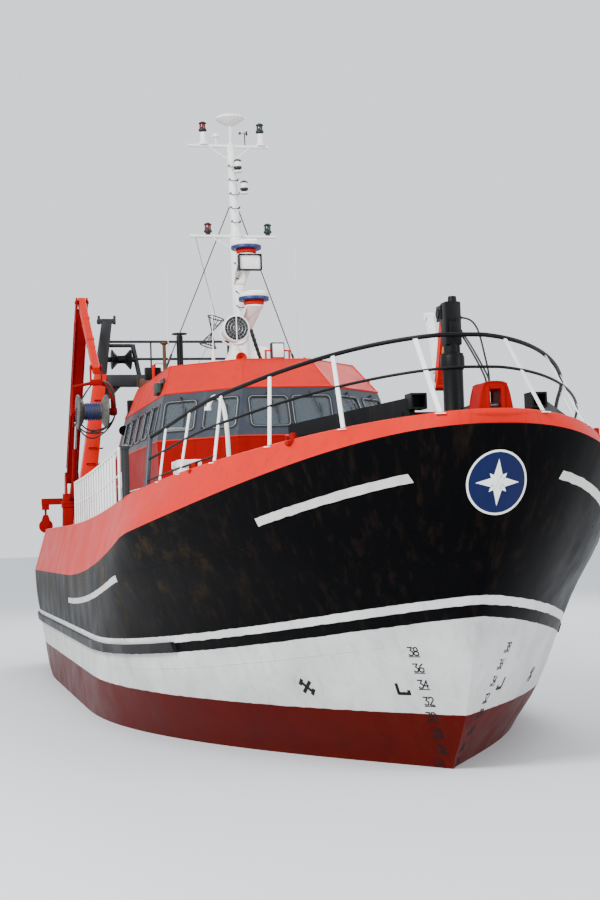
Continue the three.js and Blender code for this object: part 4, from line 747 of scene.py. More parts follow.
class TRAWLER_OT_wheelhouse(bpy.types.Operator):
    """Models the deckhouse's window frames, panes, wipers, roof edges, door gear and port lights"""

    bl_idname = "trawler.wheelhouse"
    bl_label = "Wheelhouse"

    def execute(self, context):
        paint_nodes(house_walls="deep_red_enamel", wheelhouse_band="slate_enamel", wheelhouse_roof="salmon_enamel",
                    wheelhouse_floor="vinyl_floor", house_door="white_enamel")
        seals, panes, wipers = bmesh.new(), bmesh.new(), bmesh.new()
        frames = window_frames()
        for window in frames:
            loft(seals, [window_ring(window, *size) for size in SEAL_SECTION], cap=False, wall=True)
            loft(panes, [window_ring(window, -0.012, 0.075, out) for out in (-0.022, -0.012)])
        for middle, along, up, normal, _, height in frames[:6]:
            pivot = middle + up * (height / 2 + 0.07) + normal * 0.035
            tip = middle - up * 0.05 + along * 0.14 + normal * 0.03
            rod(wipers, pivot - normal * 0.03, pivot + normal * 0.02, 0.022)
            flat(wipers, pivot, tip, along, 0.018, 0.008)
            flat(wipers, tip + up * 0.2, tip - up * 0.2, along, 0.012, 0.02)
        finish(seals, "window_frames", "charcoal_enamel")
        beading = bmesh.new()
        for window in frames:
            pipe(beading, window_ring(window, 0.006, 0.08, 0.017), 0.006, sides=1, closed=True, smooth=False)
        finish(beading, "window_beading", "galvanised_steel")
        finish(panes, "window_panes", "window_glass", stands_for=["wheelhouse_glazing"])
        finish(wipers, "wipers", "black_rubber")
        seams = bmesh.new()
        base, top = house_ring(BAND_HEAD), house_ring(ROOF)
        for low, high in zip(base, top):
            rod(seams, low, high, 0.012, sides=8)
        for ring, radius in ((base, 0.022), (top, 0.012), (house_ring(BAND_FOOT), 0.016)):
            pipe(seams, ring, radius, closed=True, smooth=False)
        for x in (-2.6, -1.0):
            for side in SIDES.values():
                rod(seams, (x, side * base[0].y, BAND_HEAD), (x, side * top[0].y, ROOF), 0.008, sides=6)
        finish(seams, "roof_seams", "salmon_enamel")
        self.walls()
        self.cabin()
        return {"FINISHED"}

    def walls(self):
        """Port lights, door gear, handrails and vents on the lower house."""
        rims, lights, rails = bmesh.new(), bmesh.new(), bmesh.new()
        for x in (-1.8, -0.5, 0.8):
            for side in SIDES.values():
                face = (x, side * HOUSE_SIDE, 3.7)
                turned(rims, [(0.15, -0.05), (0.15, 0.02), (0.17, 0.03), (0.215, 0.02), (0.215, -0.002),
                              (0.18, -0.05), (0.15, -0.05)], face, (0, side, 0), 36)
                turned(lights, solid(0.16, -0.03, -0.02), face, (0, side, 0), 36)
        for side in SIDES.values():
            y = side * (HOUSE_SIDE + 0.07)
            run = [(2.0, y, 3.95), (2.0, y + side * 0.01, 4.02), (-2.6, y, 4.02), (-2.6, y, 3.95)]
            pipe(rails, run, 0.016, smooth=False)
            for x in (2.0, 1.1, 0.2, -0.7, -1.6, -2.6):
                rod(rails, (x, side * (HOUSE_SIDE - 0.005), 3.98), (x, y, 4.02), 0.012)
        finish(rims, "port_light_rims", "cast_bronze")
        finish(lights, "port_lights", "window_glass")
        finish(rails, "house_handrails", "white_enamel")
        gear = bmesh.new()
        low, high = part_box("house_door")
        x, y = low.x + 0.05, low.y
        for z in (2.95, 3.5, 4.2):
            rod(gear, (x, y + 0.01, z), (x, y - 0.03, z), 0.018)
            flat(gear, (x, y - 0.028, z), (x + 0.15, y - 0.028, z - 0.03), UP, 0.03, 0.012)
        ring, inner = (
            [Vector(((low.x + high.x) / 2 + u, y - 0.012, 3.95 + v)) for u, v in rounded(*size)]
            for size in ((0.34, 0.44, 0.08), (0.26, 0.36, 0.06)))
        back = PORT * 0.014
        loft(gear, [[p + back for p in ring], ring, inner, [p + back for p in inner]], cap=False, wall=True)
        finish(gear, "door_gear", "galvanised_steel", body="house_door")
        vents = bmesh.new()
        x = HOUSE_BACK
        for foot in (3.3, 4.1):
            block(vents, (x - 0.05, -0.5, foot), (x, 0.5, foot + 0.5), 0.01)
            for z in (foot + 0.04 + 0.065 * k for k in range(7)):
                block(vents, (x - 0.07, -0.46, z), (x - 0.05, 0.46, z + 0.02), 0.003)
        finish(vents, "house_vents", "deep_red_enamel")
        ladder = bmesh.new()
        stiles, foot_x, bend = (1.45, 1.8), -4.52, 4.9
        for y in stiles:
            pipe(ladder, [(x, y, z) for x, z in (
                (foot_x, 2.42), (foot_x, bend), (-4.3, 6.0), (-4.12, 6.75), (-3.9, 6.95), (-3.6, 6.95),
                (-3.55, ROOF))], 0.018)
            for z in (2.9, 4.6):
                rod(ladder, (foot_x, y, z), (-4.4, y, z), 0.012)
        for z in (2.7 + 0.29 * k for k in range(12)):
            x = foot_x + 0.2 * max(z - bend, 0)
            rod(ladder, (x, stiles[0], z), (x, stiles[1], z), 0.012)
        finish(ladder, "house_ladder", "white_enamel")

    def cabin(self):
        """Screens, wheel, levers and the helmsman's cushions, on the frame's console and chair."""
        screens, glow, wheel, seat = bmesh.new(), bmesh.new(), bmesh.new(), bmesh.new()
        tilt = Matrix.Rotation(0.35, 4, "Y")
        for y in (-0.66, -0.22, 0.22, 0.66):
            block(screens, (1.62, y - 0.2, 4.86), (1.68, y + 0.2, 5.14), 0.012, tilt)
            block(glow, (1.612, y - 0.175, 4.885), (1.622, y + 0.175, 5.115), 0.004, tilt)
            rod(screens, (1.68, y, 4.84), (1.66, y, 4.95), 0.02)
        for y in (-0.75, -0.55, 0.5, 0.6, 0.7):
            rod(screens, (1.45, y, 4.85), (1.42, y, 4.97), 0.008)
            rod(screens, (1.42, y, 4.97), (1.42, y, 5.0), 0.02, sides=10)
        finish(screens, "console_instruments", "black_rubber")
        finish(glow, "console_screens", "screen_glass")
        centre = Vector((1.08, 0, 4.62))
        rod(wheel, centre, (1.16, 0, 4.6), 0.03, sides=16)
        rim = circle(centre, Vector((1, 0, -0.2)).normalized(), 0.2, 28)
        pipe(wheel, rim, 0.014, closed=True, smooth=False)
        for k in (0, 9, 19):
            rod(wheel, centre, rim[k], 0.009, sides=8)
        finish(wheel, "steering_wheel", "black_rubber")
        block(seat, (-0.06, -0.255, 4.425), (0.46, 0.255, 4.53), 0.045)
        block(seat, (-0.10, -0.25, 4.5), (0.02, 0.25, 5.01), 0.045)
        for side in SIDES.values():
            low, high = both(side, 0.27, 0.34)
            block(seat, (-0.02, low, 4.66), (0.36, high, 4.72), 0.02)
            rod(seat, (0.1, side * 0.305, 4.4), (0.1, side * 0.305, 4.67), 0.018)
        finish(seat, "helm_cushions", "leathercloth")
        chart = bmesh.new()
        block(chart, (-3.6, 1.1, 3.901), (-2.2, 1.9, 4.6), 0.015)
        block(chart, (-3.64, 1.06, 4.6), (-2.16, 1.94, 4.64), 0.012)
        for k in range(3):
            block(chart, (-3.5, 1.085, 4.02 + 0.18 * k), (-2.3, 1.1, 4.16 + 0.18 * k), 0.006)
        finish(chart, "chart_table", "vinyl_floor")


# Rails follow the bulwark's top edge, leaning in and back round the bow
RAIL_HEIGHT = 1.02
BOW_START = 5.268
LEAN_BACK = 0.138
LEAN_IN = 0.09
BOW_RAIL_END, RAIL_STEM = 7.0, 12.74
SIDE_RAIL_TOP, SIDE_RAIL_MIDDLE = 0.86, 0.44
STANCHIONS = (7.6, 8.4, 9.4, 10.6, 11.7, 12.57)


def smoothstep(x, low, high):
    """A share that eases from none at the low end to one at the high end."""
    t = min(max((x - low) / (high - low), 0.0), 1.0)
    return t * t * (3 - 2 * t)


def rail_point(x, side, up):
    """A place over the bulwark's top edge."""
    share = up / RAIL_HEIGHT
    back = max(x - BOW_START, 0) * LEAN_BACK * share
    scale = 1 - LEAN_IN * share * smoothstep(x, BOW_START, 9.0)
    edge = max(half_breadth("rail_top", x) - BULWARK_PLATE / 2, 0)
    return Vector((x - back, side * edge * scale, bulwark_height(x) + up))


def bow_point(x, side, share):
    """A place at a share of the bow rail's height, which grows in two steps towards the stem."""
    height = 0.74 + 0.22 * smoothstep(x, 6.7, 9.3) + 0.06 * smoothstep(x, 9.3, 12.6)
    return rail_point(x, side, share * height)


class TRAWLER_OT_rails(bpy.types.Operator):
    """Models the bow rail and the side rails with their flat stanchions"""

    bl_idname = "trawler.rails"
    bl_label = "Rails"

    def execute(self, context):
        bars, posts, ends = bmesh.new(), bmesh.new(), bmesh.new()
        fine = [BOW_RAIL_END + (RAIL_STEM - BOW_RAIL_END) * (1 - (1 - k / 30) ** 1.6) for k in range(31)]
        for share, radius in ((1.0, 0.028), (0.56, 0.018)):
            run = [bow_point(x, -1, share) for x in fine] + [bow_point(x, 1, share) for x in reversed(fine)]
            pipe(bars, run, radius, sides=3)
        for side in SIDES.values():
            run = [rail_point(x, side, 0.1) for x in (BOW_RAIL_END, 7.4, 7.9, 8.4, 8.9, 9.4)]
            pipe(bars, run, 0.014)
            for x in STANCHIONS:
                foot, head = rail_point(x, side, -0.02), bow_point(x, side, 1.0)
                along = rail_point(x + 0.02, side, 0) - rail_point(x - 0.02, side, 0)
                flat(posts, foot, head, along, 0.055, 0.016)
                flat(posts, foot + UP * 0.02, foot + UP * 0.032, along, 0.12, 0.09)
            head = bow_point(BOW_RAIL_END, side, 1.0)
            rod(ends, rail_point(BOW_RAIL_END, side, -0.02), head + UP * 0.03, 0.042, sides=20)
        finish(bars, "bow_rail_bars", "black_enamel", stands_for=["bow_rail"])
        finish(posts, "bow_rail_stanchions", "white_enamel", crease=50)
        finish(ends, "bow_rail_end_posts", "slate_enamel")
        for name, side in SIDES.items():
            bm = bmesh.new()
            stations = (-2.1, -1.3, -0.5, 0.3, 1.1, 1.9, 2.7, 3.5, 4.3, 4.9)
            midway = (-1.7, -0.9, -0.1, 0.7, 1.5, 2.3, 3.1, 3.9)
            for up, radius in ((SIDE_RAIL_TOP, 0.026), (SIDE_RAIL_MIDDLE, 0.014)):
                pipe(bm, [rail_point(x, side, up) for x in stations], radius)
            for spots, radius, sides in ((stations, 0.022, 12), (midway, 0.02, 10)):
                for x in spots:
                    rod(bm, rail_point(x, side, -0.02), rail_point(x, side, SIDE_RAIL_TOP), radius, sides=sides)
            finish(bm, "side_rail_bars_" + name, "white_enamel", stands_for=["side_rail_" + name])
            post = bmesh.new()
            foot = rail_point(5.6, side, -0.02)
            rod(post, foot, foot + UP * 0.8, 0.06, sides=16)
            turned(post, [(0, 0.0), (0.075, 0.0), (0.075, 0.05), (0, 0.07)], foot + UP * 0.78, UP, 16)
            finish(post, "rail_post_" + name, "charcoal_enamel")
        return {"FINISHED"}


# Mast and what stands on the wheelhouse roof


MAST_FOOT, MAST_HEAD = 6.3, 11.3
MAST_X, MAST_RAKE = -1.26, 0.68 / 5.5


def on_mast(z, y=0.0, ahead=0.0):
    """A place on the mast's axis at a height, moved to port and ahead."""
    return Vector((MAST_X - MAST_RAKE * (z - MAST_FOOT) + ahead, y, z))


UPPER_YARD, LOWER_YARD = 11.19, 9.24
LAMP_BODY = [(0, 0), (0.05, 0), (0.05, 0.03), (0.085, 0.05), (0.085, 0.085), (0.06, 0.09)]
LAMP_LENS = [(0, 0.088), (0.062, 0.088), (0.068, 0.105), (0.068, 0.185), (0.06, 0.20), (0, 0.20)]
LAMP_CAP = [(0, 0.198), (0.08, 0.198), (0.08, 0.215), (0.05, 0.24), (0.012, 0.25), (0, 0.25)]
TALL_BASE = [(0, 0), (0.1, 0), (0.1, 0.04), (0.065, 0.08), (0.06, 0.26), (0, 0.26)]
# height, y, ahead of the mast, lens
MAST_LAMPS = [
    (LOWER_YARD + 0.035, -0.58, 0.0, "red_lens"), (LOWER_YARD + 0.035, 0.68, 0.0, "green_lens"),
    (10.62, 0.09, 0.16, "clear_lens"), (10.16, 0.20, 0.16, "clear_lens"),
    (UPPER_YARD + 0.27, -0.58, 0.0, "red_lens"), (UPPER_YARD + 0.27, 0.64, 0.0, "green_lens"),
]
RADARS = {"radar_upper": (8.79, 0.09, 0.5), "radar_lower": (7.70, 0.16, 0.62)}


class TRAWLER_OT_mast(bpy.types.Operator):
    """Models the mast with its yards, lamps, step irons, stays, dish and radars"""

    bl_idname = "trawler.mast"
    bl_label = "Mast"

    def execute(self, context):
        bm = bmesh.new()
        pole = [(0, -0.3), (0.165, -0.3), (0.165, 0.02), (0.16, 0.3), (0.13, 2.92), (0.145, 2.93), (0.145, 2.99),
                (0.105, 3.02), (0.078, 4.95), (0.05, 5.0), (0, 5.0)]
        turned(bm, pole, on_mast(MAST_FOOT), on_mast(MAST_HEAD) - on_mast(MAST_FOOT), 32)
        turned(bm, [(0, 0.003), (0.29, 0.003), (0.29, 0.025), (0.17, 0.04), (0, 0.04)], (-1.25, 0, ROOF), UP, 32)
        for z, low, high in ((UPPER_YARD, -0.91, 0.8), (LOWER_YARD, -0.96, 0.85)):
            rod(bm, on_mast(z, low), on_mast(z, high), 0.034, sides=16)
            for side, end in ((-1, low), (1, high)):
                rod(bm, on_mast(z - 0.28, side * 0.08), on_mast(z, end * 0.55), 0.014)
        turned(bm, [(0, 0), (0.03, 0), (0.03, 0.42), (0.1, 0.45), (0.27, 0.545), (0.3, 0.575), (0.3, 0.605),
                    (0.27, 0.63), (0.12, 0.655), (0, 0.66)], on_mast(UPPER_YARD), UP, 40)
        for y in (-0.58, 0.64):
            turned(bm, TALL_BASE, on_mast(UPPER_YARD + 0.02, y), UP, 20)
        turned(bm, [(0, 0), (0.014, 0), (0.014, 0.18), (0.07, 0.19), (0.075, 0.22), (0.05, 0.26), (0, 0.27)],
               on_mast(UPPER_YARD, -0.31), UP, 20)
        for z, y, ahead, _ in MAST_LAMPS[2:4]:
            rod(bm, on_mast(z - 0.02), on_mast(z - 0.02, y, ahead), 0.02)
            turned(bm, solid(0.09, -0.03, 0), on_mast(z, y, ahead), UP, 20)
        for z, y, reach in RADARS.values():
            seat = on_mast(z, y, reach)
            low, high = on_mast(z - 0.58, 0, 0.07), seat - Vector((0.03, 0, 0.05))
            sections = ((low, 0.2, 0.24), (low.lerp(high, 0.35), 0.3, 0.28), (high, 0.42, 0.34))
            loft(bm, [[centre + Vector((u, v, 0)) for u, v in rounded(deep, wide, 0.05)]
                      for centre, deep, wide in sections])
            turned(bm, [(0, -0.08), (0.19, -0.06), (0.19, -0.022), (0, -0.022)], seat, UP, 32)
            rod(bm, on_mast(z - 0.06), seat - UP * 0.06, 0.03)
        finish(bm, "mast_pole", "white_enamel", stands_for=["mast"])
        irons = bmesh.new()
        for k in range(13):
            z = 7.15 + 0.3 * k
            if abs(z - LOWER_YARD) < 0.12:
                continue
            ahead = 0.15 if z < LOWER_YARD else 0.12
            pipe(irons, [on_mast(z - drop, y, ahead + out) for y, drop, out in (
                (-0.09, 0, -0.1), (-0.09, 0, 0.05), (-0.07, 0.05, 0.06), (0.07, 0.05, 0.06), (0.09, 0, 0.05),
                (0.09, 0, -0.1))], 0.010, smooth=False)
        finish(irons, "mast_step_irons", "black_enamel")
        self.lamps()
        self.radars()
        return {"FINISHED"}

    def lamps(self):
        """Navigation lamps, the deck floodlight, the wind vane, stays and the day shape."""
        bodies = bmesh.new()
        lenses = {}
        for z, y, ahead, lens in MAST_LAMPS:
            place = on_mast(z, y, ahead)
            turned(bodies, LAMP_BODY, place, UP, 24)
            turned(bodies, LAMP_CAP, place, UP, 24)
            turned(lenses.setdefault(lens, bmesh.new()), LAMP_LENS, place, UP, 24)
        place = on_mast(8.58, 0.13, 0.58)
        block(bodies, place - Vector((0.06, 0.24, 0.165)), place + Vector((0.05, 0.24, 0.165)), 0.02)
        for k in range(5):
            y = place.y - 0.2 + 0.1 * k
            block(bodies, (place.x - 0.1, y - 0.006, place.z - 0.14), (place.x - 0.055, y + 0.006, place.z + 0.14))
        rod(bodies, on_mast(8.66, 0, 0.25), place, 0.025)
        vane = on_mast(UPPER_YARD + 0.3, 0.31)
        rod(bodies, on_mast(UPPER_YARD, 0.31), vane, 0.012)
        for way in spokes(3, AHEAD, PORT):
            arm = way * 0.09
            rod(bodies, vane, vane + arm, 0.005)
            turned(bodies, [(0, 0.0), (0.03, 0.03), (0.032, 0.035), (0, 0.045)], vane + arm, (-arm.y, arm.x, 0), 12)
        finish(bodies, "mast_lamp_bodies", "charcoal_enamel")
        for lens, bm in lenses.items():
            finish(bm, "mast_lamps_" + lens.split("_")[0], lens)
        glare = bmesh.new()
        block(glare, place + Vector((0.048, -0.21, -0.14)), place + Vector((0.058, 0.21, 0.14)), 0.008)
        finish(glare, "mast_floodlight_lens", "clear_lens")
        hood = bmesh.new()
        for y, z, half_y, half_z in ((0, 0.155, 0.235, 0.008), (0, -0.155, 0.235, 0.008), (0.228, 0, 0.008, 0.155),
                                     (-0.228, 0, 0.008, 0.155)):
            block(hood, place + Vector((0.03, y - half_y, z - half_z)),
                  place + Vector((0.11, y + half_y, z + half_z)), 0.003)
        finish(hood, "mast_floodlight_hood", "black_enamel")
        stays = bmesh.new()
        for y in (-1.64, 1.25):
            foot, top = Vector((-1.5, y, ROOF - 0.01)), on_mast(10.1)
            rod(stays, foot, top, 0.011, sides=8)
            rod(stays, foot.lerp(top, 0.05), foot.lerp(top, 0.13), 0.024, sides=10)
        high, waist, low = Vector((-1.26, -0.54, 7.49)), Vector((-1.26, -0.63, 7.2)), Vector((-1.26, -0.72, 6.92))
        for centre in (high, low):
            rim = circle(centre, (centre - waist).normalized(), 0.17, 20)
            pipe(stays, rim, 0.012, closed=True, smooth=False)
            pipe(stays, [p.lerp(waist, 0.5) for p in rim], 0.006, sides=1, closed=True, smooth=False)
            for k in range(0, 20, 2):
                rod(stays, rim[k], waist, 0.006, sides=6)
        rod(stays, high, on_mast(LOWER_YARD, -0.85), 0.006, sides=6)
        rod(stays, high, low, 0.006, sides=6)
        rod(stays, low, (-1.45, -1.05, ROOF), 0.005, sides=6)
        finish(stays, "mast_stays", "charcoal_enamel")
        ladder = bmesh.new()
        head, foot = Vector((-0.6, 0.04, 7.14)), Vector((-0.6, 0.21, 6.58))
        way = (foot - head).normalized()
        steps = [head.lerp(foot, k / 6) for k in range(7)]
        pipe(ladder, [step + AHEAD * 0.012 * (-1) ** k for k, step in enumerate(steps)], 0.035)
        for step in steps:
            turned(ladder, mirrored([(0.045, 0), (0.03, 0.03), (0, 0.03)]), step, way, 12)
        rod(ladder, foot, (-0.62, 0.24, ROOF + 0.001), 0.008, sides=8)
        rod(ladder, head, on_mast(7.5, 0.1, 0.1), 0.006, sides=8)
        finish(ladder, "rolled_ladder", "black_rubber")

    def radars(self):
        """Each radar's white drum, blue band and red collar."""
        for name, (z, y, reach) in RADARS.items():
            seat = on_mast(z - 0.02, y, reach)
            shell, band, collar = bmesh.new(), bmesh.new(), bmesh.new()
            turned(shell, [(0, 0.14), (0.29, 0.14), (0.308, 0.17), (0.308, 0.215), (0.29, 0.25), (0.24, 0.272),
                           (0.12, 0.287), (0, 0.29)], seat, UP, 48)
            turned(band, [(0, 0.085), (0.3, 0.095), (0.31, 0.11), (0.31, 0.16), (0.3, 0.165), (0, 0.165)],
                   seat, UP, 48)
            turned(collar, [(0, 0.001), (0.17, 0.001), (0.2, 0.02), (0.21, 0.06), (0.2, 0.088), (0, 0.088)],
                   seat, UP, 40)
            finish(shell, name + "_drum", "gelcoat", stands_for=[name])
            finish(band, name + "_band", "blue_plastic")
            finish(collar, name + "_collar", "salmon_enamel")


# x, y, height and radius of each whip aerial
WHIPS = [(-3.3, -1.2, 2.6, 0.012), (-2.6, 1.5, 3.0, 0.012), (-3.6, 0.35, 3.6, 0.011), (0.74, -1.0, 1.4, 0.009)]
SEARCHLIGHT = Vector((-0.15, -0.39, 7.1))
FLOODLIGHT_X = 0.95


class TRAWLER_OT_roof_gear(bpy.types.Operator):
    """Models the searchlight, funnel pipe, dome, floodlight, horn and whip aerials"""

    bl_idname = "trawler.roof_gear"
    bl_label = "Roof gear"

    def execute(self, context):
        base, lamp, lens = bmesh.new(), bmesh.new(), bmesh.new()
        foot = Vector((SEARCHLIGHT.x, SEARCHLIGHT.y, ROOF))
        turned(base, [(0, 0.001), (0.33, 0.001), (0.33, 0.02), (0.3, 0.06), (0.2, 0.22), (0.12, 0.38), (0.12, 0.42),
                      (0, 0.42)], foot, UP, 40)
        finish(base, "searchlight_cone", "white_enamel", stands_for=["searchlight_base"])
        shell = [(0, -0.155), (0.2, -0.15), (0.245, -0.13), (0.25, -0.1), (0.25, 0.14), (0.262, 0.15), (0.262, 0.19),
                 (0.235, 0.2), (0.235, 0.16), (0, 0.155)]
        turned(lamp, shell, SEARCHLIGHT, AHEAD, 48)
        rod(lamp, foot + UP * 0.421, foot + UP * 0.5, 0.075, sides=24)
        pipe(lamp, [foot + Vector((0, s, h)) for s, h in (
            (-0.285, 0.8), (-0.285, 0.62), (-0.2, 0.5), (0.0, 0.49), (0.2, 0.5), (0.285, 0.62), (0.285, 0.8))], 0.02)
        face = SEARCHLIGHT + AHEAD * 0.194
        rod(lamp, face - UP * 0.24, face + UP * 0.24, 0.012, sides=10)
        finish(lamp, "searchlight_lamp", "white_enamel", body="searchlight", stands_for=["searchlight"])
        turned(lens, [(0, 0.157), (0.232, 0.157), (0.232, 0.165), (0.12, 0.176), (0, 0.178)],
               SEARCHLIGHT, AHEAD, 40)
        finish(lens, "searchlight_glass", "smoked_lens", body="searchlight")
        guard = bmesh.new()
        front = SEARCHLIGHT + AHEAD * 0.187
        for radius in (0.06, 0.12, 0.18):
            hoop = [front + way * radius for way in spokes(24, PORT, UP)]
            pipe(guard, hoop, 0.004, sides=1, closed=True, smooth=False)
        for way in spokes(8, PORT, UP, turn=math.pi):
            rod(guard, front - way * 0.235, front + way * 0.235, 0.003, sides=6)
        finish(guard, "searchlight_guard", "galvanised_steel", body="searchlight")
        posts, slim = bmesh.new(), bmesh.new()
        turned(posts, [
            (0, 0.001), (0.12, 0.001), (0.12, 0.02), (0.07, 0.03), (0.07, 1.09), (0.05, 1.1), (0.05, 1.125),
            (0.165, 1.128), (0.165, 1.15), (0.1, 1.155), (0, 1.155)], (-3.3, -0.95, ROOF), UP, 32)
        finish(posts, "exhaust_stack", "black_enamel", stands_for=["exhaust_pipe"])
        turned(slim, [(0, 0.001), (0.08, 0.001), (0.08, 0.015), (0.038, 0.025), (0.038, 0.9), (0.085, 0.93),
                      (0.085, 0.955), (0.03, 0.965), (0, 0.965)], (-3.3, -1.29, ROOF), UP, 24)
        finish(slim, "vent_pipe", "rusty_steel", stands_for=["vent_post"])
        dome = bmesh.new()
        turned(dome, [(0, 0.001), (0.1, 0.001), (0.1, 0.02), (0.06, 0.03), (0.06, 0.47), (0.12, 0.5), (0.19, 0.52),
                      (0.226, 0.56), (0.232, 0.64), (0.218, 0.75), (0.175, 0.82), (0.1, 0.87), (0, 0.89)],
               (-3.55, 0.9, ROOF), UP, 40)
        finish(dome, "dome_shell", "gelcoat", stands_for=["satellite_dome"])
        self.lights()
        return {"FINISHED"}

    def lights(self):
        """The floodlight on its bracket, the horn, aerial bases, whips and side lamps."""
        box, bars, glare = bmesh.new(), bmesh.new(), bmesh.new()
        block(box, (0.86, 0.07, 6.38), (1.01, 0.33, 6.70), 0.02)
        for z in (6.43 + 0.044 * k for k in range(6)):
            block(box, (0.83, 0.09, z), (0.87, 0.31, z + 0.012), 0.002)
        for y in (-0.03, 0.43):
            rod(bars, (FLOODLIGHT_X, y, ROOF + 0.001), (FLOODLIGHT_X, y, 6.55), 0.022, sides=14)
            turned(bars, solid(0.05, 0.001, 0.012), (FLOODLIGHT_X, y, ROOF), UP, 20)
        for z, radius in ((6.375, 0.022), (6.545, 0.016)):
            rod(bars, (FLOODLIGHT_X, -0.05, z), (FLOODLIGHT_X, 0.45, z), radius, sides=14)
        finish(box, "floodlight_case", "charcoal_enamel", stands_for=["floodlight_bracket"])
        rod(bars, (-3.72, -1.47, ROOF + 0.001), (-3.72, -1.47, 6.82), 0.035, sides=16)
        finish(bars, "floodlight_frame", "salmon_enamel")
        aft, faces = bmesh.new(), bmesh.new()
        block(aft, (-3.95, -1.64, 6.5), (-3.78, -1.29, 6.78), 0.02)
        block(aft, (-4.08, -2.02, 5.76), (-3.92, -1.88, 6.08), 0.015)
        turned(aft, [(0, 0), (0.07, 0), (0.1, 0.1), (0.11, 0.14), (0.1, 0.145), (0, 0.13)], (-3.86, -2.13, 5.45),
               (0.9, -0.1, -0.3), 28)
        for a, b in (((-3.79, -1.47, 6.64), (-3.7, -1.47, 6.64)), ((-3.95, -1.95, 5.92), (-3.88, -1.9, 5.92))):
            rod(aft, a, b, 0.02)
        block(faces, (-3.958, -1.61, 6.53), (-3.948, -1.32, 6.75), 0.004)
        finish(aft, "aft_lamp_cases", "black_enamel")
        finish(faces, "aft_lamp_lenses", "clear_lens")
        block(glare, (1.008, 0.095, 6.41), (1.018, 0.305, 6.67), 0.006)
        finish(glare, "floodlight_lens", "clear_lens")
        horn, whips, lamps = bmesh.new(), bmesh.new(), bmesh.new()
        rod(horn, (0.6, -0.48, ROOF + 0.001), (0.6, -0.48, 6.40), 0.03)
        turned(horn, [
            (0, -0.12), (0.045, -0.12), (0.045, 0.0), (0.03, 0.05), (0.045, 0.16), (0.11, 0.24), (0.1, 0.24),
            (0.03, 0.15), (0, 0.1)], (0.6, -0.48, 6.42), AHEAD, 28)
        turned(horn, [(0, 0.001), (0.07, 0.001), (0.06, 0.03), (0.045, 0.09), (0.02, 0.12), (0, 0.12)],
               (0.9, 0.74, ROOF), UP, 24)
        finish(horn, "horn_and_aerial_base", "salmon_enamel")
        for x, y, height, radius in WHIPS:
            turned(whips, [
                (0, 0), (0.035, 0), (0.03, 0.3), (0.016, 0.34), (radius, 0.36), (0.004, height), (0, height)],
                   (x, y, ROOF - 0.05), UP, 12)
        finish(whips, "whip_aerials", "gelcoat")
        for side in SIDES.values():
            block(lamps, (0.35, side * 2.02 - 0.08, 5.76), (0.65, side * 2.02 + 0.08, 5.98), 0.015)
            block(lamps, (0.3, side * 1.95 - 0.015, 5.68), (0.7, side * 1.95 + 0.015, 6.06), 0.004)
        finish(lamps, "side_lamp_boxes", "charcoal_enamel")
        for name, lens in (("port", "red_lens"), ("starboard", "green_lens")):
            bm = bmesh.new()
            turned(bm, solid(0.06, 0, 0.16), (0.66, SIDES[name] * 2.03, 5.79), UP, 20)
            finish(bm, "side_lamp_" + name, lens)


# Foredeck gear
CRANE_X = 11.26
WINDLASS_X, LOCKER_X = 9.75, 5.0
FORE_PIVOT = Vector((11.07, 0, 5.74))
FOLD_PIVOT = Vector((10.74, 0, 4.86))


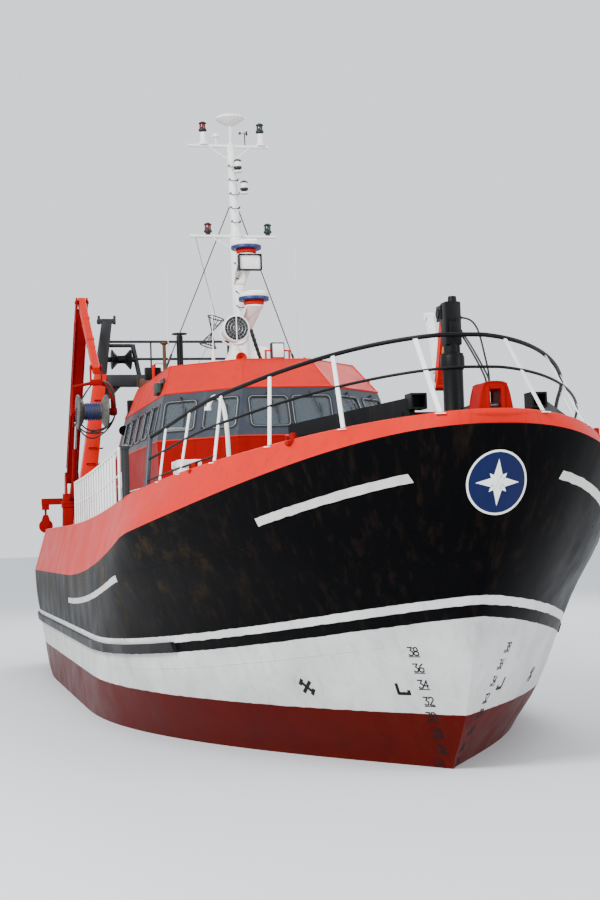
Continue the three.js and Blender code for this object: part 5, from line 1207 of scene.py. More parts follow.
class TRAWLER_OT_foredeck(bpy.types.Operator):
    """Models the fairlead, bow frame, windlass, foredeck crane, bollards and small deck fittings"""

    bl_idname = "trawler.foredeck"
    bl_label = "Foredeck gear"

    def execute(self, context):
        paint_nodes(stem_fairlead="deep_red_enamel", bow_frame="black_enamel", windlass_frame="black_enamel")
        lead = bmesh.new()
        for x in (12.35, 12.68):
            for side in SIDES.values():
                rod(lead, (x, side * 0.095, 4.41), (x, side * 0.095, 4.66), 0.028, sides=18)
            pipe(lead, [(x, y, z) for y, z in (
                (-0.2, 4.4), (-0.155, 4.68), (-0.12, 4.71), (0.12, 4.71), (0.155, 4.68), (0.2, 4.4))], 0.016)
        finish(lead, "fairlead_posts", "deep_red_enamel")
        roller = bmesh.new()
        turned(roller, mirrored([(0.028, 0.04), (0.038, 0.075), (0.036, 0.084), (0, 0.084)]),
               (12.53, 0, 4.45), PORT, 28)
        finish(roller, "fairlead_roller_body", "galvanised_steel", body="fairlead_roller",
               stands_for=["fairlead_roller"])
        drum = bmesh.new()
        centre = Vector((WINDLASS_X, 0, sheer(WINDLASS_X) + 0.56))
        turned(drum, mirrored([
            (0.12, 0.5), (0.23, 0.51), (0.23, 0.54), (0.22, 0.553), (0.06, 0.56), (0.06, 0.69), (0.11, 0.7),
            (0.1, 0.74), (0.08, 0.8), (0.1, 0.86), (0.11, 0.9), (0, 0.9)]), centre, PORT, 40)
        finish(drum, "windlass_barrel", "galvanised_steel", body="windlass_drum",
               stands_for=["windlass_drum"])
        rope = bmesh.new()
        for k in range(30):
            turned(rope, mirrored([(0.145, 0), (0.14, 0.01), (0.12, 0.015)]),
                   centre + PORT * (0.033 * k - 0.48), PORT)
        finish(rope, "windlass_rope", "laid_rope", body="windlass_drum")
        self.crane()
        self.fittings()
        return {"FINISHED"}

    def crane(self):
        """The foredeck crane: pedestal, column, boom and jib."""
        pedestal = bmesh.new()
        deck = sheer(CRANE_X)
        turned(pedestal, [(0, -0.05), (0.22, -0.05), (0.22, 0.03), (0.14, 0.05), (0.128, 0.08), (0.128, 5.0 - deck),
                          (0.152, 5.03 - deck), (0.152, 5.17 - deck), (0.148, 5.18 - deck), (0, 5.18 - deck)],
               (CRANE_X, 0, deck), UP, 40)
        base = Vector((CRANE_X, 0, deck + 0.02))
        for out in spokes(4, AHEAD, PORT, start=0.4):
            slab(pedestal, [base + out * reach + UP * rise for reach, rise in (
                (0.1, 0), (0.21, 0), (0.12, 0.25), (0.1, 0.25))], Vector((-out.y, out.x, 0)) * 0.012)
        finish(pedestal, "fore_crane_post", "black_enamel", stands_for=["fore_crane_pedestal"])
        column = bmesh.new()
        turned(column, [(0, 5.1804), (0.14, 5.1804), (0.14, 5.21), (0.104, 5.225), (0.104, 5.34), (0, 5.34)],
               (CRANE_X, 0, 0), UP, 32)
        block(column, (11.155, -0.105, 5.31), (11.365, 0.105, 5.86), 0.02)
        rod(column, (11.28, 0.02, 5.85), (11.28, 0.02, 5.93), 0.06, 0.05, 20)
        for side in SIDES.values():
            low, high = both(side, 0.075, 0.105)
            block(column, (11.0, low, 5.64), (11.26, high, 5.84), 0.012)
            rod(column, (FORE_PIVOT.x, low - 0.01, 5.74), (FORE_PIVOT.x, high + 0.01, 5.74), 0.06, sides=24)
        block(column, (11.36, -0.07, 5.42), (11.42, 0.07, 5.6), 0.01)
        for y in (-0.045, -0.015, 0.015, 0.045):
            rod(column, (11.40, y, 5.59), (11.40, y, 5.66), 0.007, sides=8)
        finish(column, "fore_crane_head", "black_enamel", body="fore_column",
               stands_for=["fore_crane_column"])
        boom, jib, ram = bmesh.new(), bmesh.new(), bmesh.new()
        along = (FOLD_PIVOT - FORE_PIVOT).normalized()
        flat(boom, FORE_PIVOT, FOLD_PIVOT, PORT, 0.11, 0.11)
        for pivot, radius, half, sides in (
                (FORE_PIVOT, 0.062, 0.07, 28), (FORE_PIVOT, 0.039, 0.104, 24), (FOLD_PIVOT, 0.062, 0.06, 28),
                (FOLD_PIVOT, 0.031, 0.112, 24)):
            crosspin(boom, pivot, radius, half, sides)
        finish(boom, "fore_crane_boom_beam", "salmon_enamel", body="fore_boom", stands_for=["fore_crane_boom"])
        for side in SIDES.values():
            low, high = both(side, 0.072, 0.108)
            rod(jib, (FOLD_PIVOT.x, low, FOLD_PIVOT.z), (FOLD_PIVOT.x, high, FOLD_PIVOT.z), 0.058, sides=28)
            cheek = FOLD_PIVOT + PORT * side * 0.09
            flat(jib, cheek + Vector((-0.01, 0, 0.02)), cheek + Vector((-0.062, 0, 0.22)), AHEAD, 0.07, 0.034)
        block(jib, FOLD_PIVOT + Vector((-0.11, -0.108, 0.17)), FOLD_PIVOT + Vector((-0.02, 0.108, 0.24)), 0.01)
        tip = FOLD_PIVOT + Vector((-0.3, 0, 0.94))
        flat(jib, FOLD_PIVOT + Vector((-0.06, 0, 0.2)), tip, PORT, 0.085, 0.09)
        crosspin(jib, tip, 0.05, 0.06, 20)
        finish(jib, "fore_crane_jib_beam", "white_enamel", body="fore_jib", stands_for=["fore_crane_jib"])
        start = FORE_PIVOT + AHEAD * 0.039
        rod(ram, start + along * 0.25, start + along * 0.7, 0.032, sides=20)
        finish(ram, "fore_crane_ram", "amber_paint", body="fore_boom")
        # three hoses that arc from the column's head down to its foot
        hoses = bmesh.new()
        foot = [(11.5, 0.42, 4.8), (11.48, 0.33, 4.6), (11.37, 0.09, 4.52)]
        pipe(hoses, [(11.3, 0.1, 5.66), (11.34, 0.21, 5.655), (11.38, 0.29, 5.56), (11.42, 0.325, 5.4),
                     (11.46, 0.36, 5.14), *foot], 0.012)
        for shift in (0, 0.035):
            pipe(hoses, [(11.3, 0.1, 5.5 - shift), (11.37, 0.15 - shift, 5.41), (11.44, 0.24 - shift, 5.2),
                         (11.5, 0.32 - shift, 5.0), *((x + 0.02, y - shift, z - shift) for x, y, z in foot)], 0.012)
        rod(hoses, (11.3, 0.1, 5.48), (11.3, 0.125, 5.48), 0.03, sides=16)
        rod(hoses, (11.3, 0.1, 5.66), (11.3, 0.125, 5.66), 0.022, sides=16)
        finish(hoses, "fore_crane_hoses", "black_rubber", body="fore_column")

    def fittings(self):
        """Bollards, goose-neck vents, boxes and chocks."""
        for name, side in SIDES.items():
            bm = bmesh.new()
            deck, y = sheer(9.3), side * 1.8
            block(bm, (8.97, y - 0.12, deck - 0.1), (9.63, y + 0.12, deck + 0.06), 0.01)
            for x in (9.11, 9.49):
                turned(bm, [(0, 0), (0.085, 0), (0.08, 0.05), (0.078, 0.36), (0.1, 0.375), (0.105, 0.4), (0.09, 0.42),
                            (0, 0.425)], (x, y, deck), UP, 32)
            rod(bm, (9.02, y, deck + 0.24), (9.58, y, deck + 0.24), 0.022, sides=14)
            finish(bm, "mooring_bitts_" + name, "black_enamel", stands_for=["bollards_" + name])
        vents, boxes, chocks = bmesh.new(), bmesh.new(), bmesh.new()
        for x, y, height in (
                (7.1, -2.35, 0.75), (7.5, -2.2, 0.6), (7.2, 2.3, 0.7), (5.3, -2.9, 0.55), (5.3, 2.9, 0.55)):
            deck = sheer(x)
            pipe(vents, [(x - back, y, deck + z) for back, z in (
                (0, -0.02), (0, height - 0.16), (0, height - 0.03), (0.1, height), (0.2, height - 0.03),
                (0.2, height - 0.2))], 0.045, sides=4)
            turned(vents, hollow(0.045, 0.065, 0, 0.04), (x - 0.2, y, deck + height - 0.21), UP, 20)
        run = [(7.5, y, z) for y, z in (
            (-2.1, sheer(7.5) - 0.02), (-2.12, 4.3), (-2.14, 4.75), (-2.2, 5.02), (-2.29, 5.08), (-2.38, 5.02),
            (-2.41, 4.86))]
        pipe(vents, run, 0.032, sides=4)
        turned(vents, hollow(0.032, 0.05, 0, 0.05), run[-1], UP, 20)
        finish(vents, "gooseneck_vents", "white_enamel")
        deck = sheer(LOCKER_X) - 0.02
        for y in (-2.1, 2.1):
            low, high = Vector((LOCKER_X - 0.35, y - 0.225, deck)), Vector((LOCKER_X + 0.35, y + 0.225, deck + 0.5))
            block(boxes, low, high, 0.02)
            block(boxes, (low.x - 0.02, low.y - 0.02, high.z - 0.09), high + Vector((0.02, 0.02, 0.015)), 0.012)
        block(boxes, (7.0, -2.86, sheer(7.0) - 0.02), (7.6, -2.56, 4.1), 0.02)
        block(boxes, (6.98, -2.88, 4.04), (7.62, -2.54, 4.15), 0.015)
        block(boxes, (7.1, -2.562, 3.45), (7.5, -2.535, 3.95), 0.006)
        finish(boxes, "deck_boxes", "white_enamel")
        for side in SIDES.values():
            for x in (10.9, 8.7):
                edge, z = half_breadth("rail_top", x), bulwark_height(x)
                y = side * (edge - 0.1)
                low, high = both(side, edge - 0.2, edge - 0.01)
                block(chocks, (x - 0.18, low, z - 0.04), (x + 0.18, high, z + 0.02), 0.01)
                for dx in (-0.13, 0.13):
                    rod(chocks, (x + dx, y, z), (x + dx * 0.7, y, z + 0.1), 0.035, 0.05, 16)
        finish(chocks, "mooring_chocks", "deep_red_enamel")


# Gantry and deck cranes
GANTRY_X = -5.8
LEG_FOOT, LEG_HEAD = 2.2, 8.07
ROLLER_Z = 7.19
RUST_LINE = 6.85
BEAM_TOP = 6.825
RAIL_END = 0.62
CRANE_Y = -2.76
LUFF_PIVOT = Vector((-9.1, CRANE_Y, 4.65))
KNUCKLE = Vector((-5.8, CRANE_Y, 8.5))
JIB_END = Vector((-3.35, CRANE_Y, 6.72))


def along_beam(a, b, share, off):
    """A place along a beam in the crane's plane, moved off it towards its upper side."""
    way = (b - a).normalized()
    return a.lerp(b, share) + Vector((-way.z, 0, way.x)) * off


LUFF_FOOT = Vector((-8.77, CRANE_Y, 4.18))
LUFF_HEAD = along_beam(LUFF_PIVOT, KNUCKLE, 0.36, -0.23)


def beam(bm, a, b, deep_a, deep_b, half, start, end, bevel):
    """A box beam in the crane's plane, with its own depth at each end."""
    outline = [along_beam(a, b, start, -deep_a), along_beam(a, b, end, -deep_b), along_beam(a, b, end, deep_b),
               along_beam(a, b, start, deep_a)]
    slab(bm, [p - PORT * half for p in outline], PORT * half * 2, bevel)


def crosspin(bm, place, radius, half, sides=28):
    """A round pin that lies across the boat."""
    rod(bm, place - PORT * half, place + PORT * half, radius, sides=sides)


class TRAWLER_OT_gantry(bpy.types.Operator):
    """Models the aft gantry, its rails, towing roller, rungs and lamps"""

    bl_idname = "trawler.gantry"
    bl_label = "Gantry"

    def execute(self, context):
        lower, upper, rungs = bmesh.new(), bmesh.new(), bmesh.new()

        def span(side, z):
            """A leg's section at a height: low and high x, low and high y, and the height."""
            t = (z - LEG_FOOT) / (LEG_HEAD - LEG_FOOT)
            y, half, deep = 3.04 - 0.84 * t, 0.22 - 0.11 * t, 0.25 - 0.13 * t
            return GANTRY_X - deep, GANTRY_X + deep, *both(side, y - half, y + half), z

        def leg(bm, side, low, high):
            tapered(bm, span(side, low), span(side, high), 0.015)

        for side in SIDES.values():
            leg(lower, side, 2.35, RUST_LINE if side < 0 else BEAM_TOP)
            low, high = both(side, 2.74, 3.3)
            block(lower, (GANTRY_X - 0.33, low, 2.4), (GANTRY_X + 0.33, high, 2.43), 0.004)
            for z in (3.0 + 0.36 * k for k in range(10)):
                t = (z - LEG_FOOT) / (LEG_HEAD - LEG_FOOT)
                y = side * (3.04 - 0.84 * t - 0.22 + 0.11 * t)
                pipe(rungs, [(GANTRY_X + dx, y - side * out, z) for dx, out in (
                    (-0.1, 0), (-0.1, 0.09), (0.1, 0.09), (0.1, 0))], 0.011, smooth=False)
                y, half, front = side * (3.04 - 0.84 * t), 0.11 - 0.05 * t, GANTRY_X + 0.30 - 0.13 * t
                rod(rungs, (front, y - half, z), (front, y + half, z), 0.011, sides=8)
                for end in (y - half, y + half):
                    rod(rungs, (GANTRY_X + 0.2 - 0.1 * t, end, z), (front + 0.005, end, z), 0.011, sides=8)
        leg(upper, -1, RUST_LINE - 0.01, LEG_HEAD)
        block(upper, (GANTRY_X - 0.09, -2.42, 8.02), (GANTRY_X + 0.09, -2.0, 8.12), 0.01)
        for y in (-2.38, -2.02):
            rod(upper, (GANTRY_X, y, 8.0), (GANTRY_X, y, 8.2), 0.03, sides=14)
        rod(upper, (GANTRY_X, -2.22, 7.51), (GANTRY_X, -1.62, 7.51), 0.042, sides=18)
        rod(upper, (GANTRY_X, -1.62, 7.535), (GANTRY_X, -1.48, 6.8), 0.055, sides=18)
        for inner, outer in ((1.53, 1.655), (2.125, 2.27)):
            turned(upper, hollow(0.03, 0.062, inner, outer), (GANTRY_X, 0, ROLLER_Z), (0, -1, 0), 28)
        block(upper, (GANTRY_X - 0.13, -2.4, 6.56), (GANTRY_X + 0.13, 2.4, 6.83), 0.018)
        for side in SIDES.values():
            slab(upper, [(GANTRY_X - 0.006, side * y, z) for y, z in ((2.35, 6.58), (1.9, 6.58), (2.44, 6.0))],
                 (0.012, 0, 0))
        for y0, z0, y1, z1, radius, sides in (
                (-2.2, 7.6, RAIL_END + 0.02, 7.6, 0.03, 18), (-1.56, 7.2, RAIL_END, 7.2, 0.03, 18),
                (RAIL_END, 6.81, RAIL_END, 7.61, 0.03, 18), (-1.2, 6.81, -1.2, 7.6, 0.02, 14)):
            rod(upper, (GANTRY_X, y0, z0), (GANTRY_X, y1, z1), radius, sides=sides)
        finish(lower, "gantry_lower", "salmon_enamel", stands_for=["gantry"])
        finish(upper, "gantry_upper", "charcoal_enamel")
        finish(rungs, "gantry_rungs", "black_enamel")
        lamps, lenses = bmesh.new(), bmesh.new()
        for y in (-1.02, 0.0, 1.1, 1.9):
            block(lamps, (GANTRY_X + 0.13, y - 0.14, 6.87), (GANTRY_X + 0.24, y + 0.14, 7.07), 0.012)
            rod(lamps, (GANTRY_X + 0.1, y, 6.82), (GANTRY_X + 0.18, y, 6.9), 0.015)
            block(lenses, (GANTRY_X + 0.238, y - 0.115, 6.89), (GANTRY_X + 0.247, y + 0.115, 7.05), 0.004)
        finish(lamps, "gantry_lamp_cases", "black_enamel")
        lead = bmesh.new()
        turned(lead, mirrored([(0.135, 0.1), (0.1, 0.13), (0, 0.13)]), (GANTRY_X + 0.27, -1.41, 6.58), PORT, 32)
        for y in (-1.56, -1.26):
            slab(lead, [(GANTRY_X + dx, y - 0.008, z) for dx, z in (
                (0.12, 6.75), (0.3, 6.64), (0.3, 6.53), (0.12, 6.6))], (0, 0.016, 0), 0.003)
        rod(lead, (GANTRY_X + 0.27, -1.57, 6.58), (GANTRY_X + 0.27, -1.25, 6.58), 0.02)
        finish(lead, "gantry_lead_roller", "rusty_steel")
        finish(lenses, "gantry_lamp_lenses", "clear_lens")
        roller = bmesh.new()
        turned(roller, mirrored([
            (0.09, 0.0), (0.1, 0.085), (0.15, 0.13), (0.228, 0.2), (0.23, 0.218), (0.22, 0.225), (0.028, 0.225),
            (0.028, 0.27), (0, 0.27)]), (GANTRY_X, -1.89, ROLLER_Z), PORT, 40)
        finish(roller, "towing_sheave", "black_enamel", body="towing_roller", stands_for=["towing_roller"])
        return {"FINISHED"}


class TRAWLER_OT_deck_crane(bpy.types.Operator):
    """Models the knuckle crane with its cylinder, hoses and power block"""

    bl_idname = "trawler.deck_crane"
    bl_label = "Deck crane"

    def execute(self, context):
        pedestal, column, boom, jib = bmesh.new(), bmesh.new(), bmesh.new(), bmesh.new()
        foot = (LUFF_PIVOT.x, CRANE_Y, 2.2)
        turned(pedestal, [
            (0, 0), (0.31, 0), (0.29, 0.3), (0.245, 1.7), (0.27, 1.72), (0.27, 1.79), (0.24, 1.8), (0, 1.8)],
               foot, UP, 40)
        finish(pedestal, "crane_post", "deep_red_enamel", stands_for=["crane_pedestal"])
        turned(column, [(0, 1.8004), (0.27, 1.8004), (0.27, 1.87), (0.235, 1.88), (0.235, 2.05), (0, 2.06)],
               foot, UP, 40)
        x = LUFF_PIVOT.x
        for side in SIDES.values():
            y = CRANE_Y + side * 0.146 - 0.02
            slab(column, [(x + dx, y, z) for dx, z in (
                (-0.23, 4.24), (0.23, 4.24), (0.14, 4.7), (0.07, 4.78), (-0.07, 4.78), (-0.14, 4.7))],
                 (0, 0.04, 0), 0.006)
            y = CRANE_Y + side * 0.085 - 0.015
            slab(column, [(x + dx, y, z) for dx, z in (
                (0, 4.06), (0.36, 4.1), (0.4, 4.16), (0.38, 4.25), (0, 4.25))], (0, 0.03, 0), 0.004)
        finish(column, "crane_turret", "deep_red_enamel", body="crane_column", stands_for=["crane_column"])
        beam(boom, LUFF_PIVOT, KNUCKLE, 0.15, 0.12, 0.12, 0.0, 0.955, 0.02)
        crosspin(boom, LUFF_PIVOT, 0.15, 0.12)
        crosspin(boom, LUFF_PIVOT, 0.039, 0.166)
        for side in SIDES.values():
            shift = PORT * side * 0.116
            plate = [along_beam(LUFF_PIVOT, KNUCKLE, s, o) + shift - PORT * 0.02 for s, o in (
                (0.9, -0.12), (0.99, -0.11), (1.02, -0.06), (1.02, 0.06), (0.99, 0.11), (0.9, 0.12))]
            slab(boom, plate, PORT * 0.04, 0.006)
            lug = [along_beam(LUFF_PIVOT, KNUCKLE, s, o) + PORT * (side * 0.072 - 0.012) for s, o in (
                (0.32, -0.14), (0.348, -0.30), (0.372, -0.30), (0.4, -0.14))]
            slab(boom, lug, PORT * 0.024, 0.004)
            for off in (-0.135, 0.135):
                low, high = (along_beam(LUFF_PIVOT, KNUCKLE, s, off) + PORT * side * 0.125 for s in (0.04, 0.93))
                flat(boom, low, high, PORT, 0.02, 0.03)
        finish(boom, "crane_boom_beam", "deep_red_enamel", body="crane_boom", stands_for=["crane_boom"])
        beam(jib, KNUCKLE, JIB_END, 0.115, 0.088, 0.076, 0.0, 1.04, 0.015)
        crosspin(jib, KNUCKLE, 0.115, 0.076)
        crosspin(jib, KNUCKLE, 0.039, 0.16)
        for share in (0.3, 0.62):
            beam(jib, KNUCKLE, JIB_END, 0.118, 0.112, 0.082, share, share + 0.02, 0.004)
        finish(jib, "crane_jib_beam", "salmon_enamel", body="crane_jib", stands_for=["crane_jib"])
        barrel, piston = bmesh.new(), bmesh.new()
        way = (LUFF_HEAD - LUFF_FOOT).normalized()
        end = LUFF_HEAD - way * 0.7
        rod(barrel, LUFF_FOOT, end, 0.058, sides=28)
        rod(barrel, end - way * 0.07, end, 0.066, sides=28)
        crosspin(barrel, LUFF_FOOT, 0.064, 0.06)
        crosspin(barrel, LUFF_FOOT, 0.027, 0.11)
        finish(barrel, "luff_barrel_tube", "deep_red_enamel", body="luff_barrel",
               stands_for=["luff_cylinder_barrel"])
        rod(piston, LUFF_FOOT.lerp(LUFF_HEAD, 0.32), LUFF_FOOT.lerp(LUFF_HEAD, 0.97), 0.0288, sides=28)
        crosspin(piston, LUFF_HEAD, 0.061, 0.05)
        finish(piston, "luff_piston_rod", "chromed_rod", body="luff_rod", stands_for=["luff_cylinder_rod"])
        hoses = bmesh.new()
        for k in range(3):
            off = 0.15 + 0.012 * k
            y = PORT * (0.03 * k - 0.03)
            pipe(hoses, [along_beam(LUFF_PIVOT, KNUCKLE, s, off - 0.02) + y for s in (0.06, 0.3, 0.6, 0.9)], 0.013)
        finish(hoses, "crane_boom_hoses", "black_rubber", body="crane_boom")
        self.block()
        return {"FINISHED"}

    def block(self):
        """The power block's head, curved arm, yoke and drum."""
        arm, drum, hub, hoses = bmesh.new(), bmesh.new(), bmesh.new(), bmesh.new()
        x, y, drum_y = JIB_END.x, CRANE_Y, CRANE_Y - 0.095
        centre, top = Vector((x, drum_y, JIB_END.z - 0.93)), JIB_END.z - 0.25
        arm_y, outer_y = drum_y + 0.445, drum_y - 0.41
        for side in SIDES.values():
            slab(arm, [(x + dx, y + side * 0.112 - 0.016, z) for dx, z in (
                (-0.07, top - 0.01), (0.07, top - 0.01), (0.07, JIB_END.z + 0.03), (0.04, JIB_END.z + 0.07),
                (-0.04, JIB_END.z + 0.07), (-0.07, JIB_END.z + 0.03))], (0, 0.032, 0), 0.005)
        crosspin(arm, JIB_END, 0.029, 0.135)
        block(arm, (x - 0.07, y - 0.128, top - 0.12), (x + 0.07, y + 0.128, top), 0.012)
        pipe(arm, [(x, *place) for place in (
            (y - 0.06, top - 0.05), (y + 0.1, top - 0.055), (y + 0.26, top - 0.1), (arm_y - 0.02, top - 0.24),
            (arm_y + 0.01, top - 0.42), (arm_y, centre.z - 0.09))], 0.055, sides=4)
        rod(arm, (x, y - 0.1, top - 0.07), (x, outer_y, top - 0.16), 0.035, sides=18)
        rod(arm, (x, outer_y, top - 0.13), (x, outer_y, centre.z - 0.07), 0.035, sides=18)
        for eye_y, half in ((outer_y, 0.045), (arm_y, 0.075)):
            turned(arm, [(0.026, -half), (0.075, -half), (0.085, 0), (0.075, half), (0.026, half), (0.026, -half)],
                   (x, eye_y, centre.z), PORT, 28)
        finish(arm, "power_block_yoke", "deep_red_enamel", body="power_block", stands_for=["power_block_arm"])
        for side in SIDES.values():
            turned(drum, [
                (0.1, 0.17), (0.24, 0.2), (0.3, 0.24), (0.335, 0.272), (0.362, 0.29), (0.366, 0.31), (0.35, 0.33),
                (0.3, 0.335), (0.16, 0.342), (0.1, 0.342), (0.1, 0.17)], centre, (0, side, 0), 48)
        turned(drum, [(0, -0.18), (0.17, -0.18), (0.165, -0.05), (0.165, 0.06), (0.17, 0.18), (0, 0.18)],
               centre, PORT, 40)
        for out in spokes(12, AHEAD, UP):
            for side in SIDES.values():
                flat(drum, centre + out * 0.19 + PORT * side * 0.19, centre + out * 0.345 + PORT * side * 0.275,
                     Vector((-out.z, 0, out.x)), 0.02, 0.02)
        rod(drum, (x, outer_y - 0.03, centre.z), (x, arm_y + 0.03, centre.z), 0.0245, sides=24)
        finish(drum, "power_block_sheave", "worn_steel", body="power_block_drum", stands_for=["power_block_drum"])
        for out in spokes(6, AHEAD, UP):
            rod(hub, centre + out * 0.1 + PORT * 0.343, centre + out * 0.1 + PORT * 0.358, 0.018, sides=6)
        turned(hub, hollow(0.03, 0.15, 0.344, 0.352), centre, PORT, 32)
        for k in range(7):
            turned(hub, [(0.165, -0.012), (0.192, -0.01), (0.192, 0.01), (0.165, 0.012), (0.165, -0.012)],
                   centre + PORT * (0.045 * k - 0.135), PORT, 36)
        finish(hub, "power_block_hub", "blue_plastic", body="power_block_drum")
        # three hoses that sag under the drum, and two that lead down the arm
        for k, sag in enumerate((0.5, 0.62, 0.44)):
            pipe(hoses, [
                (x + 0.03, y - 0.1, top - 0.1), (x + 0.08 + 0.03 * k, outer_y - 0.05, centre.z),
                (x + 0.06, outer_y + 0.1 + 0.05 * k, centre.z - sag * 0.9), (x, drum_y + 0.1, centre.z - sag),
                (x + 0.05, arm_y + 0.02, centre.z - 0.25), (x + 0.07, arm_y + 0.03, centre.z)], 0.016)
        for k in (-1, 1):
            pipe(hoses, [
                (x + 0.05, y + 0.1, top - 0.03), (x + 0.1, y + 0.24 + 0.03 * k, top - 0.05),
                (x + 0.09, arm_y + 0.05, top - 0.3 + 0.04 * k), (x + 0.07, arm_y + 0.04, centre.z + 0.02)], 0.014)
        finish(hoses, "power_block_hoses", "black_rubber", body="power_block")


GALLOWS_X = -11.3
NET_DRUM = Vector((-8.3, 0, 3.355))


class TRAWLER_OT_after_deck(bpy.types.Operator):
    """Models the gallows, towing blocks, net drum, trawl winch, hatches and their gear"""

    bl_idname = "trawler.after_deck"
    bl_label = "After deck"

    def execute(self, context):
        paint_nodes(
            net_drum_frame="deep_red_enamel", trawl_winch_frame="deep_red_enamel", gallows_port="deep_red_enamel",
            gallows_starboard="deep_red_enamel", fish_hatch_coaming="deep_red_enamel",
            fore_hatch_coaming="deep_red_enamel", fish_hatch_lid="charcoal_enamel", fore_hatch_lid="charcoal_enamel")
        hanger = bulwark_height(GALLOWS_X) + 0.6
        for name, side in SIDES.items():
            bm = bmesh.new()
            y, x = side * 3.24, GALLOWS_X
            rod(bm, (x - 0.078, y, hanger), (x + 0.078, y, hanger), 0.0175, sides=20)
            block(bm, (x - 0.032, y - 0.028, hanger - 0.25), (x + 0.032, y + 0.028, hanger + 0.03), 0.01)
            for dx in (-0.038, 0.024):
                slab(bm, [(x + dx, y + dy, hanger - drop) for dy, drop in (
                    (-0.06, 0.19), (0.06, 0.19), (0.1, 0.3), (0.1, 0.5), (-0.1, 0.5), (-0.1, 0.3))],
                     (0.014, 0, 0), 0.003)
            block(bm, (x - 0.03, y - 0.05, hanger - 0.26), (x + 0.03, y + 0.05, hanger - 0.2), 0.006)
            turned(bm, mirrored([
                (0.15, 0), (0.178, 0.015), (0.18, 0.022), (0.06, 0.024), (0.06, 0.048), (0, 0.048)]),
                   (x, y, hanger - 0.48), AHEAD, 40)
            finish(bm, "hanging_block_" + name, "deep_red_enamel", body="towing_block_" + name,
                   stands_for=["towing_block_" + name])
        drum, net = bmesh.new(), bmesh.new()
        turned(drum, mirrored([
            (0.21, 1.19), (0.77, 1.2), (0.78, 1.205), (0.78, 1.235), (0.77, 1.24), (0.06, 1.25), (0.06, 1.4),
            (0, 1.4)]), NET_DRUM, PORT, 48)
        finish(drum, "net_reel", "charcoal_enamel", body="net_drum", stands_for=["net_drum"])
        turned(net, [
            (0.2, -1.185), (0.52, -1.18), (0.56, -1.0), (0.6, -0.6), (0.57, -0.2), (0.61, 0.3), (0.58, 0.8),
            (0.55, 1.1), (0.5, 1.18), (0.2, 1.185), (0.2, -1.185)], NET_DRUM, PORT, 72)
        finish(net, "wound_net", "braided_net", body="net_drum")
        for name, side in SIDES.items():
            warp, wire = bmesh.new(), bmesh.new()
            centre = Vector((-6.78, side * 1.02, 2.965))
            turned(warp, mirrored([
                (0.13, 0.75), (0.425, 0.76), (0.43, 0.765), (0.43, 0.785), (0.425, 0.79), (0.05, 0.8), (0.05, 0.89),
                (0, 0.89)]), centre, PORT, 40)
            finish(warp, "warp_reel_" + name, "charcoal_enamel", body="warp_drum_" + name,
                   stands_for=["warp_drum_" + name])
            for k in range(54):
                turned(wire, mirrored([(0.299, 0), (0.294, 0.009), (0.28, 0.013)]),
                       centre + PORT * (0.0275 * k - 0.73), PORT, 28)
            turned(wire, hollow(0.13, 0.285, -0.748, 0.748), centre, PORT, 28)
            finish(wire, "warp_wire_" + name, "steel_wire_rope", body="warp_drum_" + name)
        self.hatches()
        return {"FINISHED"}

    def hatches(self):
        """Dogs and handles on the hatch lids, gearboxes beside the winches."""
        for name, x, half, deck in (("fish_hatch", -10.5, 0.65, MAIN_DECK), ("fore_hatch", 8.3, 0.4, sheer(8.3))):
            bm = bmesh.new()
            top = deck + 0.47
            for sx in (-1, 1):
                for sy in (-1, 1):
                    dog = Vector((x + sx * half * 0.7, sy * half * 0.7, top))
                    rod(bm, dog - UP * 0.002, dog + UP * 0.02, 0.03, sides=16)
            for y in (-half * 0.6, half * 0.6):
                pipe(bm, [(x + dx, y, top + dz) for dx, dz in ((-0.1, 0), (-0.1, 0.05), (0.1, 0.05), (0.1, 0))],
                     0.009, smooth=False)
            finish(bm, name + "_handles", "galvanised_steel", body=name + "_lid")
        gear = bmesh.new()
        low = MAIN_DECK + 0.001
        block(gear, (-6.98, -0.12, low + 0.09), (-6.58, 0.12, low + 0.72), 0.03)
        block(gear, (-8.5, 1.46, low + 0.45), (-8.1, 1.72, low + 1.2), 0.03)
        turned(gear, [(0, 0), (0.11, 0), (0.12, 0.02), (0.12, 0.3), (0.1, 0.34), (0, 0.34)],
               NET_DRUM + PORT * 1.7, PORT, 28)
        finish(gear, "winch_gearboxes", "charcoal_enamel")


